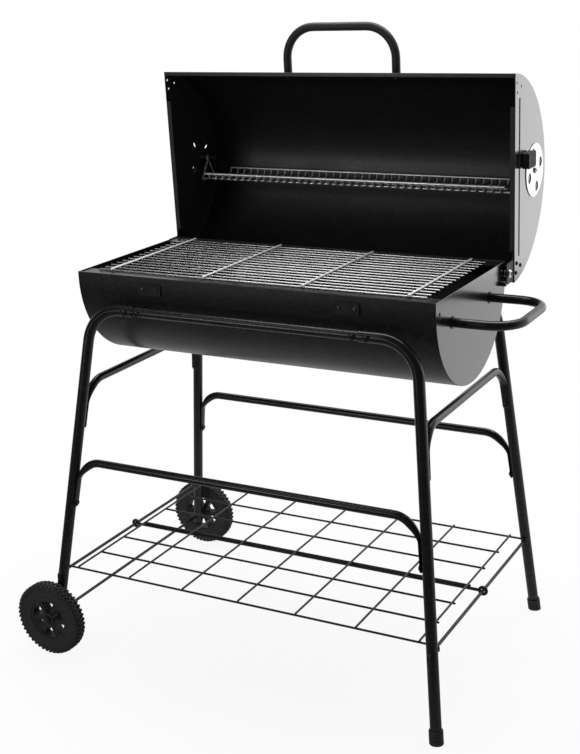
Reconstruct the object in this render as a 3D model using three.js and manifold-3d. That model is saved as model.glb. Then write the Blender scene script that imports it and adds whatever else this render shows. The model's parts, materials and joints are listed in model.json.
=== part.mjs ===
import * as THREE from 'three';
import { mergeVertices } from 'three/addons/utils/BufferGeometryUtils.js';
import Module from 'manifold-3d';

const wasm = await Module();
wasm.setup();

// Barrel charcoal grill on a wheeled tube stand. Millimetres, +X along the barrel towards the
// side handle, +Y to the back, +Z up, ground at z = 0. The lid is drawn shut and then turned open.

// Clearances
const gap = 0.3;
const runningGap = 0.1;
const weld = 0.4;

// Bowl
const bowlHalfLength = 350;
const bowlRadius = 168;
const rimHeight = 731;
const bowlAxisHeight = 719;
const sheet = 1.5;
const rimWidth = 4.5;
const ledgeDrop = 2;
const ledgeInnerHalf = 130;

// Lid
const lidHalfLength = 361;
const lidRadius = 187;
const lidCentreY = -3;
const lidEdgeHeight = 734;
const lidLip = 8;
const lidFlangeHalf = 129;
const beadHalfLength = 142;
const beadHeight = 25;
const beadWidth = 5;
const beadRise = 1.2;
const cornerHoles = [[152.5, 11], [169.5, 8], [161, 32]];
const cornerHoleRadius = 2.5;

// Hinge
const hingeY = 160;
const hingeHeight = 709;
const openAngle = THREE.MathUtils.degToRad(88);
const bracketThickness = 3;
const bracketEdge = 12;
const hingeShankRadius = 4;
const hingeThreadRadius = 3;
const hingeShoulderRadius = 6;
const hingeHeadRadius = 8;
const hingeHeadHeight = 4;
const nutRadius = 5;
const nutHeight = 4.7;
const stopRadius = 4;

// Vents
const ventHeight = 108.4;
const ventRadius = 49;
const ventThickness = 1.2;
const ventHoleRadius = 9.5;
const ventHoleRing = 33;
const ventTurn = THREE.MathUtils.degToRad(-27);
const ventTabWidth = 22;
const ventTabReach = 74;
const gripSize = [14, 28, 40];
const gripReach = 64;
const gripChamfer = 3;
const pinRadius = 2.5;
const pinHeadRadius = 6.5;
const pinHeadHeight = 3.5;
const pinInnerX = 327;
const pinNutRadius = 5.5;

// Warming rack, measured from its hanging pin
const rackHalfDepth = 46;
const rackTopDrop = 27;
const rackBottomDrop = 41;
const rackBottomHalf = 19;
const rackFrontRadius = 2.5;
const rackRodRadius = 1.75;
const rackWireRadius = 1.5;
const rackWireCount = 40;
const rackWireInset = 3;
const weldEvery = 13;
const wireSink = 1.2;
const rackFrontHalf = 322;
const rackBackHalf = 315;
const hangerX = 341;
const hangerHalf = 27;

// Handles
const handleRadius = 8;
const handleWall = 1.2;
const lidHandleX = 6;
const lidHandleHalf = 112.5;
const lidHandleBend = 58;
const lidHandleRise = 44;
const lidHandleReach = 268.3;
const sideHandleY = -5;
const sideHandleHalf = 90;
const sideHandleBend = 50;
const sideHandleHeight = 682;
const sideHandleReach = 457;
const studRadius = 3;
const insertDepth = 10;

// Grates
const grateRodRadius = 1.6;
const grateCrossRadius = 2;
const grateRodCount = 16;
const grateRodPitch = 18.4;
const grateHalfLength = 323;
const grateCrossAt = [-292, -97, 98, 293];
const grateCrossHalf = 146;
const hangerPlateAt = 194;
const charcoalRodCount = 11;
const charcoalRodPitch = 24;
const charcoalHalfLength = 305;
const charcoalCrossAt = [-291, -hangerPlateAt, 0, hangerPlateAt, 291];
const charcoalCrossHalf = 132;
const charcoalRadius = 2.5;
const charcoalSeat = 645;
const hangerPlateHeight = 709;
const hangerPlateSize = [46, 2, 22];
const hangerScrewHalf = 14.5;
const hangerScrewRadius = 2;
const strapWidth = 22;
const strapThickness = 2;
const strapReach = 118;

// Stand
const legRadius = 10;
const legWall = 1;
const legFootRight = 388.6;
const legFootLeft = 406.5;
const legFootY = 264;
const legSlopeRight = 0.0972;
const legSlopeLeft = 0.138;
const railHeight = 669;
const railY = 182;
const railHalf = 250;
const railRadius = legRadius - legWall - gap;
const legRunEnd = 222;
const legBend = 70;
const legEndLeft = 56;
const legEndRight = 8;
const bowlBoltAt = 212;
const legScrewAt = 238;
const boltRadius = 3;
const boltHeadRadius = 5.5;
const boltHeadHeight = 3;
const collarRadius = 5;
const footRadius = 12.5;
const footHeight = 24;
const footFloor = 3;

// Braces
const braceRadius = 7.5;
const braceWall = 1;
const braceBend = 42;
const frontBraceBolt = 298;
const frontBraceTop = 380;
const sideBraceBolt = 448;
const sideBraceTop = 525;
const braceTail = 9;
const tongueThickness = 3;
const tongueLength = 24;
const boltReach = 9;

// Shelf
const shelfWireRadius = 2;
const shelfRodRadius = 3;
const shelfRodHeight = 157;
const shelfWireHalf = 231.5;
const shelfWireInset = 27.5;
const shelfWireCount = 7;
const shelfHookReach = 6.3;

// Wheels
const wheelRadius = 72;
const wheelWidth = 26;
const wheelY = 280;
const axleRadius = 3;
const hubRadius = 15;
const hubHalf = 12;
const spokeCount = 6;
const capRadius = 8;
const capHeight = 8;

// Facets
const bodySteps = 26;
const tubeSides = 12;
const thinTubeSides = 8;
const bendSteps = 4;
const boltSides = 6;
const turnedSides = 12;
const ventHoleSides = 10;

// Paint and metal
const colours = {
  paint: [0x1b1b1a, 0.32, 0.35],
  chrome: [0xd9dbdd, 0.14, 1],
  hardware: [0xc4c6c8, 0.3, 1],
  matte: [0x151515, 0.75, 0],
  plastic: [0x232320, 0.6, 0],
  wire: [0x191918, 0.4, 0.3],
  zinc: [0x8e9092, 0.45, 0.9],
};

const up = new THREE.Vector3(0, 0, 1);

// A curve through listed points, sampled at exactly those points
class PointCurve extends THREE.Curve {
  constructor(points) {
    super();
    this.points = points;
  }

  getPoint(t, target = new THREE.Vector3()) {
    const place = t * (this.points.length - 1);
    const first = Math.min(Math.floor(place), this.points.length - 2);
    return target.lerpVectors(this.points[first], this.points[first + 1], place - first);
  }

  getPointAt(t, target) {
    return this.getPoint(t, target);
  }

  getTangentAt(t, target = new THREE.Vector3()) {
    const last = this.points.length - 1;
    const index = Math.round(t * last);
    const before = this.points[Math.max(index - 1, 0)];
    const here = this.points[index];
    const after = this.points[Math.min(index + 1, last)];
    const arriving = here.clone().sub(before).normalize();
    const leaving = after.clone().sub(here).normalize();
    return target.copy(arriving).add(leaving).normalize();
  }
}

function vec(x, y, z) {
  return new THREE.Vector3(x, y, z);
}

function toSolid(geometry) {
  const bare = geometry.index ? geometry.toNonIndexed() : geometry.clone();
  bare.deleteAttribute('normal');
  bare.deleteAttribute('uv');
  const joined = mergeVertices(bare, 1e-4);
  const mesh = new wasm.Mesh({
    numProp: 3,
    vertProperties: new Float32Array(joined.attributes.position.array),
    triVerts: new Uint32Array(joined.index.array),
  });
  return new wasm.Manifold(mesh);
}

function toGeometry(solid) {
  const mesh = solid.getMesh();
  const geometry = new THREE.BufferGeometry();
  geometry.setAttribute('position', new THREE.BufferAttribute(mesh.vertProperties, 3));
  geometry.setIndex(new THREE.BufferAttribute(mesh.triVerts, 1));
  geometry.computeVertexNormals();
  return geometry;
}

function join(solids) {
  return solids.reduce((sum, next) => sum.add(next));
}

function cut(solid, tools) {
  return tools.reduce((rest, tool) => rest.subtract(tool), solid);
}

function circlePoints(radius, sides) {
  return Array.from({ length: sides }, (_, i) => {
    const angle = (2 * Math.PI * i) / sides;
    return new THREE.Vector2(radius * Math.cos(angle), radius * Math.sin(angle));
  });
}

// A bar of round section between two points
function rod(from, to, radius, sides = boltSides, endRadius = radius) {
  const length = from.distanceTo(to);
  const geometry = new THREE.CylinderGeometry(endRadius, radius, length, sides);
  geometry.translate(0, length / 2, 0);
  const direction = to.clone().sub(from).normalize();
  const turn = new THREE.Quaternion().setFromUnitVectors(vec(0, 1, 0), direction);
  geometry.applyQuaternion(turn);
  geometry.translate(from.x, from.y, from.z);
  return toSolid(geometry);
}

// A straight bar of rectangular section between two points near one vertical line
function bar(from, to, sizeX, sizeY) {
  const length = from.distanceTo(to);
  const geometry = new THREE.BoxGeometry(sizeX, sizeY, length);
  const direction = to.clone().sub(from).normalize();
  geometry.applyQuaternion(new THREE.Quaternion().setFromUnitVectors(up, direction));
  const middle = from.clone().add(to).multiplyScalar(0.5);
  geometry.translate(middle.x, middle.y, middle.z);
  return toSolid(geometry);
}

function block(low, high) {
  const geometry = new THREE.BoxGeometry(high[0] - low[0], high[1] - low[1], high[2] - low[2]);
  geometry.translate((low[0] + high[0]) / 2, (low[1] + high[1]) / 2, (low[2] + high[2]) / 2);
  return toSolid(geometry);
}

// A plate or sheet whose outline lies in the YZ plane, drawn out along X
function drawnAlongX(outline, fromX, toX, holes = []) {
  const shape = new THREE.Shape(outline.map(([y, z]) => new THREE.Vector2(y, z)));
  for (const [y, z, radius, sides = boltSides] of holes) {
    const corner = radius / Math.cos(Math.PI / sides);
    const ring = circlePoints(corner, sides).map((p) => p.add(new THREE.Vector2(y, z)));
    shape.holes.push(new THREE.Path(ring));
  }
  const geometry = new THREE.ExtrudeGeometry(shape, { depth: toX - fromX, bevelEnabled: false });
  geometry.applyMatrix4(new THREE.Matrix4().makeBasis(vec(0, 1, 0), vec(0, 0, 1), vec(1, 0, 0)));
  geometry.translate(fromX, 0, 0);
  return toSolid(geometry);
}

// A corner list with every inner corner rounded to the bend radius
function roundedPath(corners, bend, steps = bendSteps) {
  const points = [corners[0]];
  for (let i = 1; i < corners.length - 1; i += 1) {
    const back = corners[i - 1].clone().sub(corners[i]).normalize();
    const ahead = corners[i + 1].clone().sub(corners[i]).normalize();
    const half = back.angleTo(ahead) / 2;
    const centre = back.clone().add(ahead).normalize();
    centre.multiplyScalar(bend / Math.sin(half)).add(corners[i]);
    const start = back.clone().multiplyScalar(bend / Math.tan(half)).add(corners[i]);
    const arm = start.clone().sub(centre);
    const axis = ahead.clone().cross(back).normalize();
    const turn = Math.PI - 2 * half;
    for (let step = 0; step <= steps; step += 1) {
      const turned = arm.clone().applyAxisAngle(axis, (turn * step) / steps);
      points.push(turned.add(centre));
    }
  }
  points.push(corners[corners.length - 1]);
  return points;
}

// A bar or, with a wall, a tube with open ends that follows a list of points
function sweep(points, radius, sides = tubeSides, wall = 0) {
  const shape = new THREE.Shape(circlePoints(radius, sides));
  if (wall > 0) {
    shape.holes.push(new THREE.Path(circlePoints(radius - wall, sides)));
  }
  const geometry = new THREE.ExtrudeGeometry(shape, {
    steps: points.length - 1,
    bevelEnabled: false,
    extrudePath: new PointCurve(points),
  });
  return toSolid(geometry);
}

function makeMesh(name, solid, colour) {
  const [tone, roughness, metalness] = colour;
  const material = new THREE.MeshStandardMaterial({ color: tone, roughness, metalness });
  const mesh = new THREE.Mesh(toGeometry(solid), material);
  mesh.name = name;
  return mesh;
}

const grill = new THREE.Group();
grill.name = 'barrel_grill';

function place(name, solid, colour, group = grill) {
  group.add(makeMesh(name, solid, colour));
}

const sides = [['left', -1], ['right', 1]];
const ends = [['front', -1], ['back', 1]];

// Bowl
function arc(radius, centreY, centreZ, from, to, steps) {
  return Array.from({ length: steps + 1 }, (_, i) => {
    const angle = from + ((to - from) * i) / steps;
    return [centreY + radius * Math.cos(angle), centreZ + radius * Math.sin(angle)];
  });
}

const ledgeHeight = rimHeight - ledgeDrop;
const bowlInner = bowlRadius - sheet;
const rimInner = bowlRadius - rimWidth;
const bowlSheetEnd = bowlHalfLength - sheet - gap;

function mirrored(points) {
  return points.map(([y, z]) => [-y, z]).reverse();
}

const rimOutline = [
  [bowlInner, ledgeHeight - sheet],
  [ledgeInnerHalf, ledgeHeight - sheet],
  [ledgeInnerHalf, ledgeHeight],
  [rimInner, ledgeHeight],
  [rimInner, rimHeight],
  [bowlRadius, rimHeight],
];
const bowlOutline = [
  ...rimOutline,
  ...arc(bowlRadius, 0, bowlAxisHeight, 0, -Math.PI, bodySteps),
  ...mirrored(rimOutline),
  ...arc(bowlInner, 0, bowlAxisHeight, -Math.PI, 0, bodySteps),
];

function alongY(x, z, fromY, toY, radius, steps = boltSides) {
  return rod(vec(x, fromY, z), vec(x, toY, z), radius, steps);
}

function alongX(y, z, fromX, toX, radius, steps = boltSides) {
  return rod(vec(fromX, y, z), vec(toX, y, z), radius, steps);
}

const bowlHoles = [];
for (const [, side] of sides) {
  for (const [, end] of ends) {
    bowlHoles.push(alongY(side * bowlBoltAt, railHeight, end * ledgeInnerHalf,
      end * (bowlRadius + runningGap), boltRadius + gap));
    for (const offset of [-hangerScrewHalf, hangerScrewHalf]) {
      const x = side * hangerPlateAt + offset;
      bowlHoles.push(alongY(x, hangerPlateHeight, end * ledgeInnerHalf,
        end * (bowlRadius + gap), hangerScrewRadius + gap));
    }
  }
}
place('bowl_shell', cut(drawnAlongX(bowlOutline, -bowlSheetEnd, bowlSheetEnd), bowlHoles),
  colours.paint);

const stopZ = -(bracketEdge + gap + stopRadius);
const stopY = (stopZ - Math.cos(openAngle) * stopZ) / Math.sin(openAngle);
const stopPlace = [hingeY + stopY, hingeHeight + stopZ];
const spareHoleY = -152;
const sideHandleEnds = [sideHandleY - sideHandleHalf, sideHandleY + sideHandleHalf];

const bowlEndOutline = [
  [bowlRadius, rimHeight],
  ...arc(bowlRadius, 0, bowlAxisHeight, 0, -Math.PI, bodySteps),
  [-bowlRadius, rimHeight],
];
for (const [name, side] of sides) {
  const holes = [
    [hingeY, hingeHeight, hingeThreadRadius + gap],
    [spareHoleY, hingeHeight, hingeThreadRadius + gap],
    [...stopPlace, hingeThreadRadius + gap],
  ];
  if (side > 0) {
    holes.push(...sideHandleEnds.map((y) => [y, sideHandleHeight, studRadius + gap]));
  }
  const faces = [side * bowlHalfLength, side * (bowlHalfLength - sheet)].sort((a, b) => a - b);
  place(`bowl_end_${name}`, drawnAlongX(bowlEndOutline, ...faces, holes), colours.paint);
}

// Charcoal hangers inside the bowl and their screw plates outside
const strapOuter = bowlInner - 2 * gap;
for (const [endName, end] of ends) {
  for (const [sideName, side] of sides) {
    const x = side * hangerPlateAt;
    const plateY = bowlRadius + gap + 0.3;
    const nutFace = strapOuter - strapThickness - gap - 0.6;
    const screwRun = [end * (nutFace - 5), end * (plateY + 0.5)];
    const screws = [-hangerScrewHalf, hangerScrewHalf].map((offset) => join([
      alongY(x + offset, hangerPlateHeight, ...screwRun, hangerScrewRadius),
      alongY(x + offset, hangerPlateHeight, end * plateY,
        end * (plateY + hangerPlateSize[1] + 1.8), 3.6),
      alongY(x + offset, hangerPlateHeight, end * (nutFace - 3.6), end * nutFace, 3.4, 6),
    ]));
    const plate = block(
      [x - hangerPlateSize[0] / 2, Math.min(end * plateY, end * (plateY + hangerPlateSize[1])),
        hangerPlateHeight - hangerPlateSize[2] / 2],
      [x + hangerPlateSize[0] / 2, Math.max(end * plateY, end * (plateY + hangerPlateSize[1])),
        hangerPlateHeight + hangerPlateSize[2] / 2],
    );
    place(`hanger_plate_${endName}_${sideName}`, join([plate, ...screws]), colours.matte);

    const strapTop = hangerPlateHeight + hangerPlateSize[2] / 2 - 2 * gap;
    const strapNeck = hangerPlateHeight - hangerPlateSize[2] / 2 - 2 * gap;
    const topAngle = Math.asin((bowlAxisHeight - strapTop) / strapOuter);
    const neckAngle = Math.asin((bowlAxisHeight - strapNeck) / strapOuter);
    const seatLow = bowlAxisHeight - charcoalSeat + strapThickness;
    const seatAngle = Math.asin(seatLow / strapOuter);
    const inner = strapOuter - strapThickness;
    const strap = (from, to, width) => drawnAlongX([
      ...arc(strapOuter, 0, bowlAxisHeight, -from, -to, 5),
      ...arc(inner, 0, bowlAxisHeight, -to, -from, 5),
    ], x - width / 2, x + width / 2);
    const seatEnd = Math.sqrt(strapOuter ** 2 - seatLow ** 2) - 2 * gap;
    const seat = block([x - strapWidth / 2, strapReach, charcoalSeat - strapThickness],
      [x + strapWidth / 2, seatEnd, charcoalSeat]);
    const head = strap(topAngle, neckAngle, hangerPlateSize[0] - 4);
    let hanger = join([head, strap(neckAngle - 0.002, seatAngle, strapWidth), seat]);
    if (end < 0) {
      hanger = hanger.mirror([0, 1, 0]);
    }
    const holes = [-hangerScrewHalf, hangerScrewHalf].map((offset) => (
      alongY(x + offset, hangerPlateHeight, end * ledgeInnerHalf, end * bowlRadius,
        hangerScrewRadius + gap)));
    place(`charcoal_hanger_${endName}_${sideName}`, cut(hanger, holes), colours.zinc);
  }
}

// Grates: long rods with cross rods welded over or under them
function grate(crossAt, crossHalf, crossRadius, seat, rodCount, pitch, half, rodRadius,
  crossOnTop) {
  const low = seat + gap + (crossOnTop ? rodRadius : crossRadius);
  const high = low + crossRadius + rodRadius - weld;
  const [rodHeight, crossHeight] = crossOnTop ? [low, high] : [high, low];
  const pieces = crossAt.map((x) => alongY(x, crossHeight, -crossHalf, crossHalf, crossRadius, 6));
  for (let i = 0; i < rodCount; i += 1) {
    const y = (i - (rodCount - 1) / 2) * pitch;
    pieces.push(alongX(y, rodHeight, -half, half, rodRadius, 6));
  }
  return join(pieces);
}

place('cooking_grate', grate(grateCrossAt, grateCrossHalf, grateCrossRadius,
  ledgeHeight, grateRodCount, grateRodPitch, grateHalfLength, grateRodRadius, true),
colours.chrome);
place('charcoal_grate', grate(charcoalCrossAt, charcoalCrossHalf, charcoalRadius,
  charcoalSeat, charcoalRodCount, charcoalRodPitch, charcoalHalfLength, charcoalRadius, false),
colours.wire);

// Side handle on the right end of the bowl
function footInsert(from, to, studFrom, studTo) {
  const low = from.clone().min(to);
  const high = from.clone().max(to);
  return block(low.toArray(), high.toArray()).add(rod(studFrom, studTo, studRadius));
}

const sideFoot = bowlHalfLength + gap;
const bowlNutEnd = bowlHalfLength - sheet - gap;
const sidePath = roundedPath([
  vec(sideFoot, sideHandleEnds[0], sideHandleHeight),
  vec(sideHandleReach, sideHandleEnds[0], sideHandleHeight),
  vec(sideHandleReach, sideHandleEnds[1], sideHandleHeight),
  vec(sideFoot, sideHandleEnds[1], sideHandleHeight),
], sideHandleBend);
const handleInner = handleRadius - handleWall;
const sideHandle = [sweep(sidePath, handleRadius, tubeSides, handleWall)];
for (const y of sideHandleEnds) {
  sideHandle.push(footInsert(
    vec(sideFoot, y - studRadius, sideHandleHeight - handleInner - weld),
    vec(sideFoot + insertDepth, y + studRadius, sideHandleHeight + handleInner + weld),
    vec(bowlNutEnd - nutHeight - 2, y, sideHandleHeight),
    vec(sideFoot + insertDepth / 2, y, sideHandleHeight),
  ));
  sideHandle.push(alongX(y, sideHandleHeight, bowlNutEnd - nutHeight, bowlNutEnd, nutRadius));
}
place('side_handle', join(sideHandle), colours.paint);

// Lid, drawn shut
const lidHinge = new THREE.Group();
lidHinge.position.set(0, hingeY, hingeHeight);
lidHinge.rotation.x = -openAngle;
const lid = new THREE.Group();
lid.position.set(0, -hingeY, -hingeHeight);
lidHinge.add(lid);
grill.add(lidHinge);

const lidAxisHeight = bowlAxisHeight;
const lidInner = lidRadius - sheet;
const edgeLift = lidEdgeHeight - lidAxisHeight;
const edgeHalf = Math.sqrt(lidRadius ** 2 - edgeLift ** 2);
const lipTop = edgeLift + sheet;
const edgeAngle = Math.asin(edgeLift / lidRadius);
const lipAngle = Math.asin(lipTop / lidInner);
const lidSheetEnd = lidHalfLength - sheet - gap;
const lidOutline = [
  [lidCentreY + edgeHalf - lidLip, lidEdgeHeight],
  ...arc(lidRadius, lidCentreY, lidAxisHeight, edgeAngle, Math.PI - edgeAngle, bodySteps),
  [lidCentreY - edgeHalf + lidLip, lidEdgeHeight],
  [lidCentreY - edgeHalf + lidLip, lidEdgeHeight + sheet],
  ...arc(lidInner, lidCentreY, lidAxisHeight, Math.PI - lipAngle, lipAngle, bodySteps),
  [lidCentreY + edgeHalf - lidLip, lidEdgeHeight + sheet],
];
const lidHandleHeight = lidEdgeHeight + lidHandleRise;
const lidHandleEnds = [lidHandleX - lidHandleHalf, lidHandleX + lidHandleHalf];
const lidHoles = lidHandleEnds.map((x) => (
  alongY(x, lidHandleHeight, lidCentreY, lidCentreY - lidRadius, studRadius + gap)));
place('lid_shell', cut(drawnAlongX(lidOutline, -lidSheetEnd, lidSheetEnd), lidHoles),
  colours.paint, lid);

const ventZ = lidEdgeHeight + ventHeight;
const ventHoleAngles = [45, 135, 225, 315].map((angle) => THREE.MathUtils.degToRad(angle));
for (const [name, side] of sides) {
  const holes = [[lidCentreY, ventZ, pinRadius + gap]];
  for (const angle of ventHoleAngles) {
    holes.push([lidCentreY + ventHoleRing * Math.cos(angle),
      ventZ + ventHoleRing * Math.sin(angle), ventHoleRadius, ventHoleSides]);
  }
  for (const [y, z] of cornerHoles) {
    holes.push([lidCentreY + y, lidEdgeHeight + z, cornerHoleRadius]);
    holes.push([lidCentreY - y, lidEdgeHeight + z, cornerHoleRadius]);
  }
  const outline = arc(lidRadius, lidCentreY, lidAxisHeight, edgeAngle, Math.PI - edgeAngle, bodySteps);
  const outer = side * lidHalfLength;
  const inner = side * (lidHalfLength - sheet);
  const faces = [outer, inner].sort((a, b) => a - b);
  const beadFaces = [outer - side * 0.2, outer + side * beadRise].sort((a, b) => a - b);
  const flangeFaces = [inner + side * 0.2, inner - side * lidLip].sort((a, b) => a - b);
  const bead = block(
    [beadFaces[0], lidCentreY - beadHalfLength, lidEdgeHeight + beadHeight - beadWidth / 2],
    [beadFaces[1], lidCentreY + beadHalfLength, lidEdgeHeight + beadHeight + beadWidth / 2],
  );
  const flange = block([flangeFaces[0], lidCentreY - lidFlangeHalf, lidEdgeHeight],
    [flangeFaces[1], lidCentreY + lidFlangeHalf, lidEdgeHeight + sheet]);
  place(`lid_end_${name}`, join([drawnAlongX(outline, ...faces, holes), bead, flange]),
    colours.paint, lid);
}

// Lid handle
const handleStart = lidRadius - 3 * handleRadius;
const lidPath = roundedPath([
  vec(lidHandleEnds[0], -handleStart, lidHandleHeight),
  vec(lidHandleEnds[0], -lidHandleReach, lidHandleHeight),
  vec(lidHandleEnds[1], -lidHandleReach, lidHandleHeight),
  vec(lidHandleEnds[1], -handleStart, lidHandleHeight),
], lidHandleBend);
const lidBody = alongX(lidCentreY, lidAxisHeight, lidHandleEnds[0] - 3 * handleRadius,
  lidHandleEnds[1] + 3 * handleRadius, lidRadius + gap, 96);
const lidSkin = Math.sqrt(lidRadius ** 2 - (lidHandleHeight - lidAxisHeight) ** 2) - lidCentreY;
const lidHandle = [sweep(lidPath, handleRadius, tubeSides, handleWall).subtract(lidBody)];
for (const x of lidHandleEnds) {
  lidHandle.push(footInsert(
    vec(x - studRadius, -(lidSkin + 4), lidHandleHeight - handleInner - weld),
    vec(x + studRadius, -(lidSkin + 4 + insertDepth), lidHandleHeight + handleInner + weld),
    vec(x, -(lidSkin - sheet - 6), lidHandleHeight),
    vec(x, -(lidSkin + 4 + insertDepth / 2), lidHandleHeight),
  ));
  const lidNutBody = alongX(lidCentreY, lidAxisHeight, x - 20, x + 20, lidInner - gap, 96);
  const nut = alongY(x, lidHandleHeight, -(lidSkin - 8), -(lidSkin + 4), nutRadius, 6);
  lidHandle.push(nut.intersect(lidNutBody));
}
place('lid_handle', join(lidHandle), colours.paint, lid);

// Hinge brackets on the lid, bolts and stop pins on the bowl
const bracketOuter = lidHalfLength - sheet - gap;
const bracketInner = bracketOuter - bracketThickness;
const bracketLow = hingeHeight - bracketEdge;
const bracketWide = hingeY + 19;
const bracketFront = hingeY - 32;
const bracketNeck = hingeY - 20;
const bracketTop = lidEdgeHeight + 40;
const bracketBack = lidCentreY + edgeHalf - lidLip - gap - 0.3;
const bracketOutline = [
  [bracketNeck, bracketLow],
  [bracketWide - 3, bracketLow],
  [bracketWide, bracketLow + 3],
  [bracketWide, lidEdgeHeight - 3],
  [bracketBack, lidEdgeHeight - 1],
  [bracketBack, lidEdgeHeight + 24],
  [bracketBack - 8, bracketTop],
  [bracketFront + 17, bracketTop],
  [bracketFront, lidEdgeHeight + 6],
  [bracketFront, lidEdgeHeight + 1],
  [bracketNeck, lidEdgeHeight - 4],
];
for (const [name, side] of sides) {
  const faces = [side * bracketInner, side * bracketOuter].sort((a, b) => a - b);
  const plate = drawnAlongX(bracketOutline, ...faces,
    [[hingeY, hingeHeight, hingeShankRadius + runningGap, turnedSides]]);
  const screws = cornerHoles.flatMap(([y, z]) => [
    alongX(lidCentreY + y, lidEdgeHeight + z, side * (bracketInner + 1),
      side * (lidHalfLength + 1), cornerHoleRadius - gap),
    alongX(lidCentreY + y, lidEdgeHeight + z, side * (lidHalfLength + gap),
      side * (lidHalfLength + gap + 2), 3.8),
  ]);
  place(`hinge_bracket_${name}`, join([plate, ...screws]), colours.matte, lid);

  const shoulderEnd = bracketInner - gap;
  const headStart = bracketOuter + gap;
  const run = (from, to, radius, steps = turnedSides) => (
    alongX(hingeY, hingeHeight, side * from, side * to, radius, steps));
  place(`hinge_bolt_${name}`, join([
    run(bowlNutEnd - nutHeight, bowlNutEnd, nutRadius, boltSides),
    run(bowlNutEnd - nutHeight - 2, bowlHalfLength + gap + 1, hingeThreadRadius, boltSides),
    run(bowlHalfLength + gap, shoulderEnd, hingeShoulderRadius, 10),
    run(shoulderEnd - 1, headStart + 1, hingeShankRadius),
    run(headStart, headStart + hingeHeadHeight * 0.5, hingeHeadRadius),
    rod(vec(side * (headStart + hingeHeadHeight * 0.5 - 0.1), hingeY, hingeHeight),
      vec(side * (headStart + hingeHeadHeight), hingeY, hingeHeight), hingeHeadRadius, turnedSides,
      hingeHeadRadius * 0.6),
  ]), colours.hardware);

  const pin = (from, to, radius, steps = boltSides) => (
    alongX(...stopPlace, side * from, side * to, radius, steps));
  place(`lid_stop_${name}`, join([
    pin(bowlNutEnd - nutHeight, bowlNutEnd, nutRadius),
    pin(bowlNutEnd - nutHeight - 1, bowlHalfLength + gap + 1, hingeThreadRadius),
    pin(bowlHalfLength + gap, headStart, stopRadius),
  ]), colours.matte);
}

// Vents: a turning disc with a grip on each lid end, held by the pin that also carries the rack
for (const [name, side] of sides) {
  const vent = new THREE.Group();
  vent.position.set(0, lidCentreY, ventZ);
  vent.rotation.x = ventTurn;
  lid.add(vent);
  const inner = lidHalfLength + gap;
  const outer = inner + ventThickness;
  const faces = [side * inner, side * outer].sort((a, b) => a - b);
  const disc = drawnAlongX(circlePoints(ventRadius, 24).map((p) => [p.x, p.y]), ...faces,
    ventHoleAngles.map((angle) => [ventHoleRing * Math.cos(angle),
      ventHoleRing * Math.sin(angle), ventHoleRadius, ventHoleSides]));
  const tab = block([faces[0], -ventTabWidth / 2, -ventTabReach],
    [faces[1], ventTabWidth / 2, -ventRadius + 3]);
  const holes = [
    alongX(0, 0, side * (inner - 5), side * (outer + 5),
      (pinRadius + runningGap) / Math.cos(Math.PI / turnedSides), turnedSides),
    alongX(0, -gripReach, side * (inner - 5), side * (outer + 5),
      (studRadius + gap) / Math.cos(Math.PI / boltSides)),
  ];
  place(`vent_disc_${name}`, cut(join([disc, tab]), holes), colours.chrome, vent);

  const gripGroup = new THREE.Group();
  gripGroup.position.set(0, 0, -gripReach);
  gripGroup.rotation.x = -ventTurn;
  vent.add(gripGroup);
  const [depth, width, height] = gripSize;
  const c = gripChamfer;
  const gripOutline = [
    [-width / 2 + c, -height / 2], [width / 2 - c, -height / 2],
    [width / 2, -height / 2 + c], [width / 2, height / 2 - c],
    [width / 2 - c, height / 2], [-width / 2 + c, height / 2],
    [-width / 2, height / 2 - c], [-width / 2, -height / 2 + c],
  ];
  const gripFaces = [side * (outer + gap), side * (outer + gap + depth)].sort((a, b) => a - b);
  const grip = drawnAlongX(gripOutline, ...gripFaces)
    .add(alongX(0, 0, side * (inner + 0.2), side * (outer + 3), studRadius));
  place(`vent_grip_${name}`, grip, colours.plastic, gripGroup);

  const run = (from, to, radius, steps = turnedSides) => (
    alongX(lidCentreY, ventZ, side * from, side * to, radius, steps));
  const plateInner = lidHalfLength - sheet;
  place(`vent_pin_${name}`, join([
    run(pinInnerX, outer + gap + 1, pinRadius),
    run(outer + gap, outer + gap + 1.5, pinHeadRadius),
    rod(vec(side * (outer + gap + 1.4), lidCentreY, ventZ),
      vec(side * (outer + gap + pinHeadHeight), lidCentreY, ventZ), pinHeadRadius, turnedSides,
      pinHeadRadius * 0.55),
    run(plateInner - gap - 4, plateInner - gap, pinNutRadius, 6),
    run(pinInnerX - 1, pinInnerX + 1.5, pinRadius + 1.6, boltSides),
  ]), colours.hardware, lid);
}

// Warming rack, hanging level from the two vent pins
const rack = new THREE.Group();
const pinRest = vec(0, lidCentreY - hingeY, ventZ - hingeHeight);
pinRest.applyAxisAngle(vec(1, 0, 0), -openAngle);
rack.position.set(0, pinRest.y + hingeY, pinRest.z + hingeHeight);
grill.add(rack);

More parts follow.
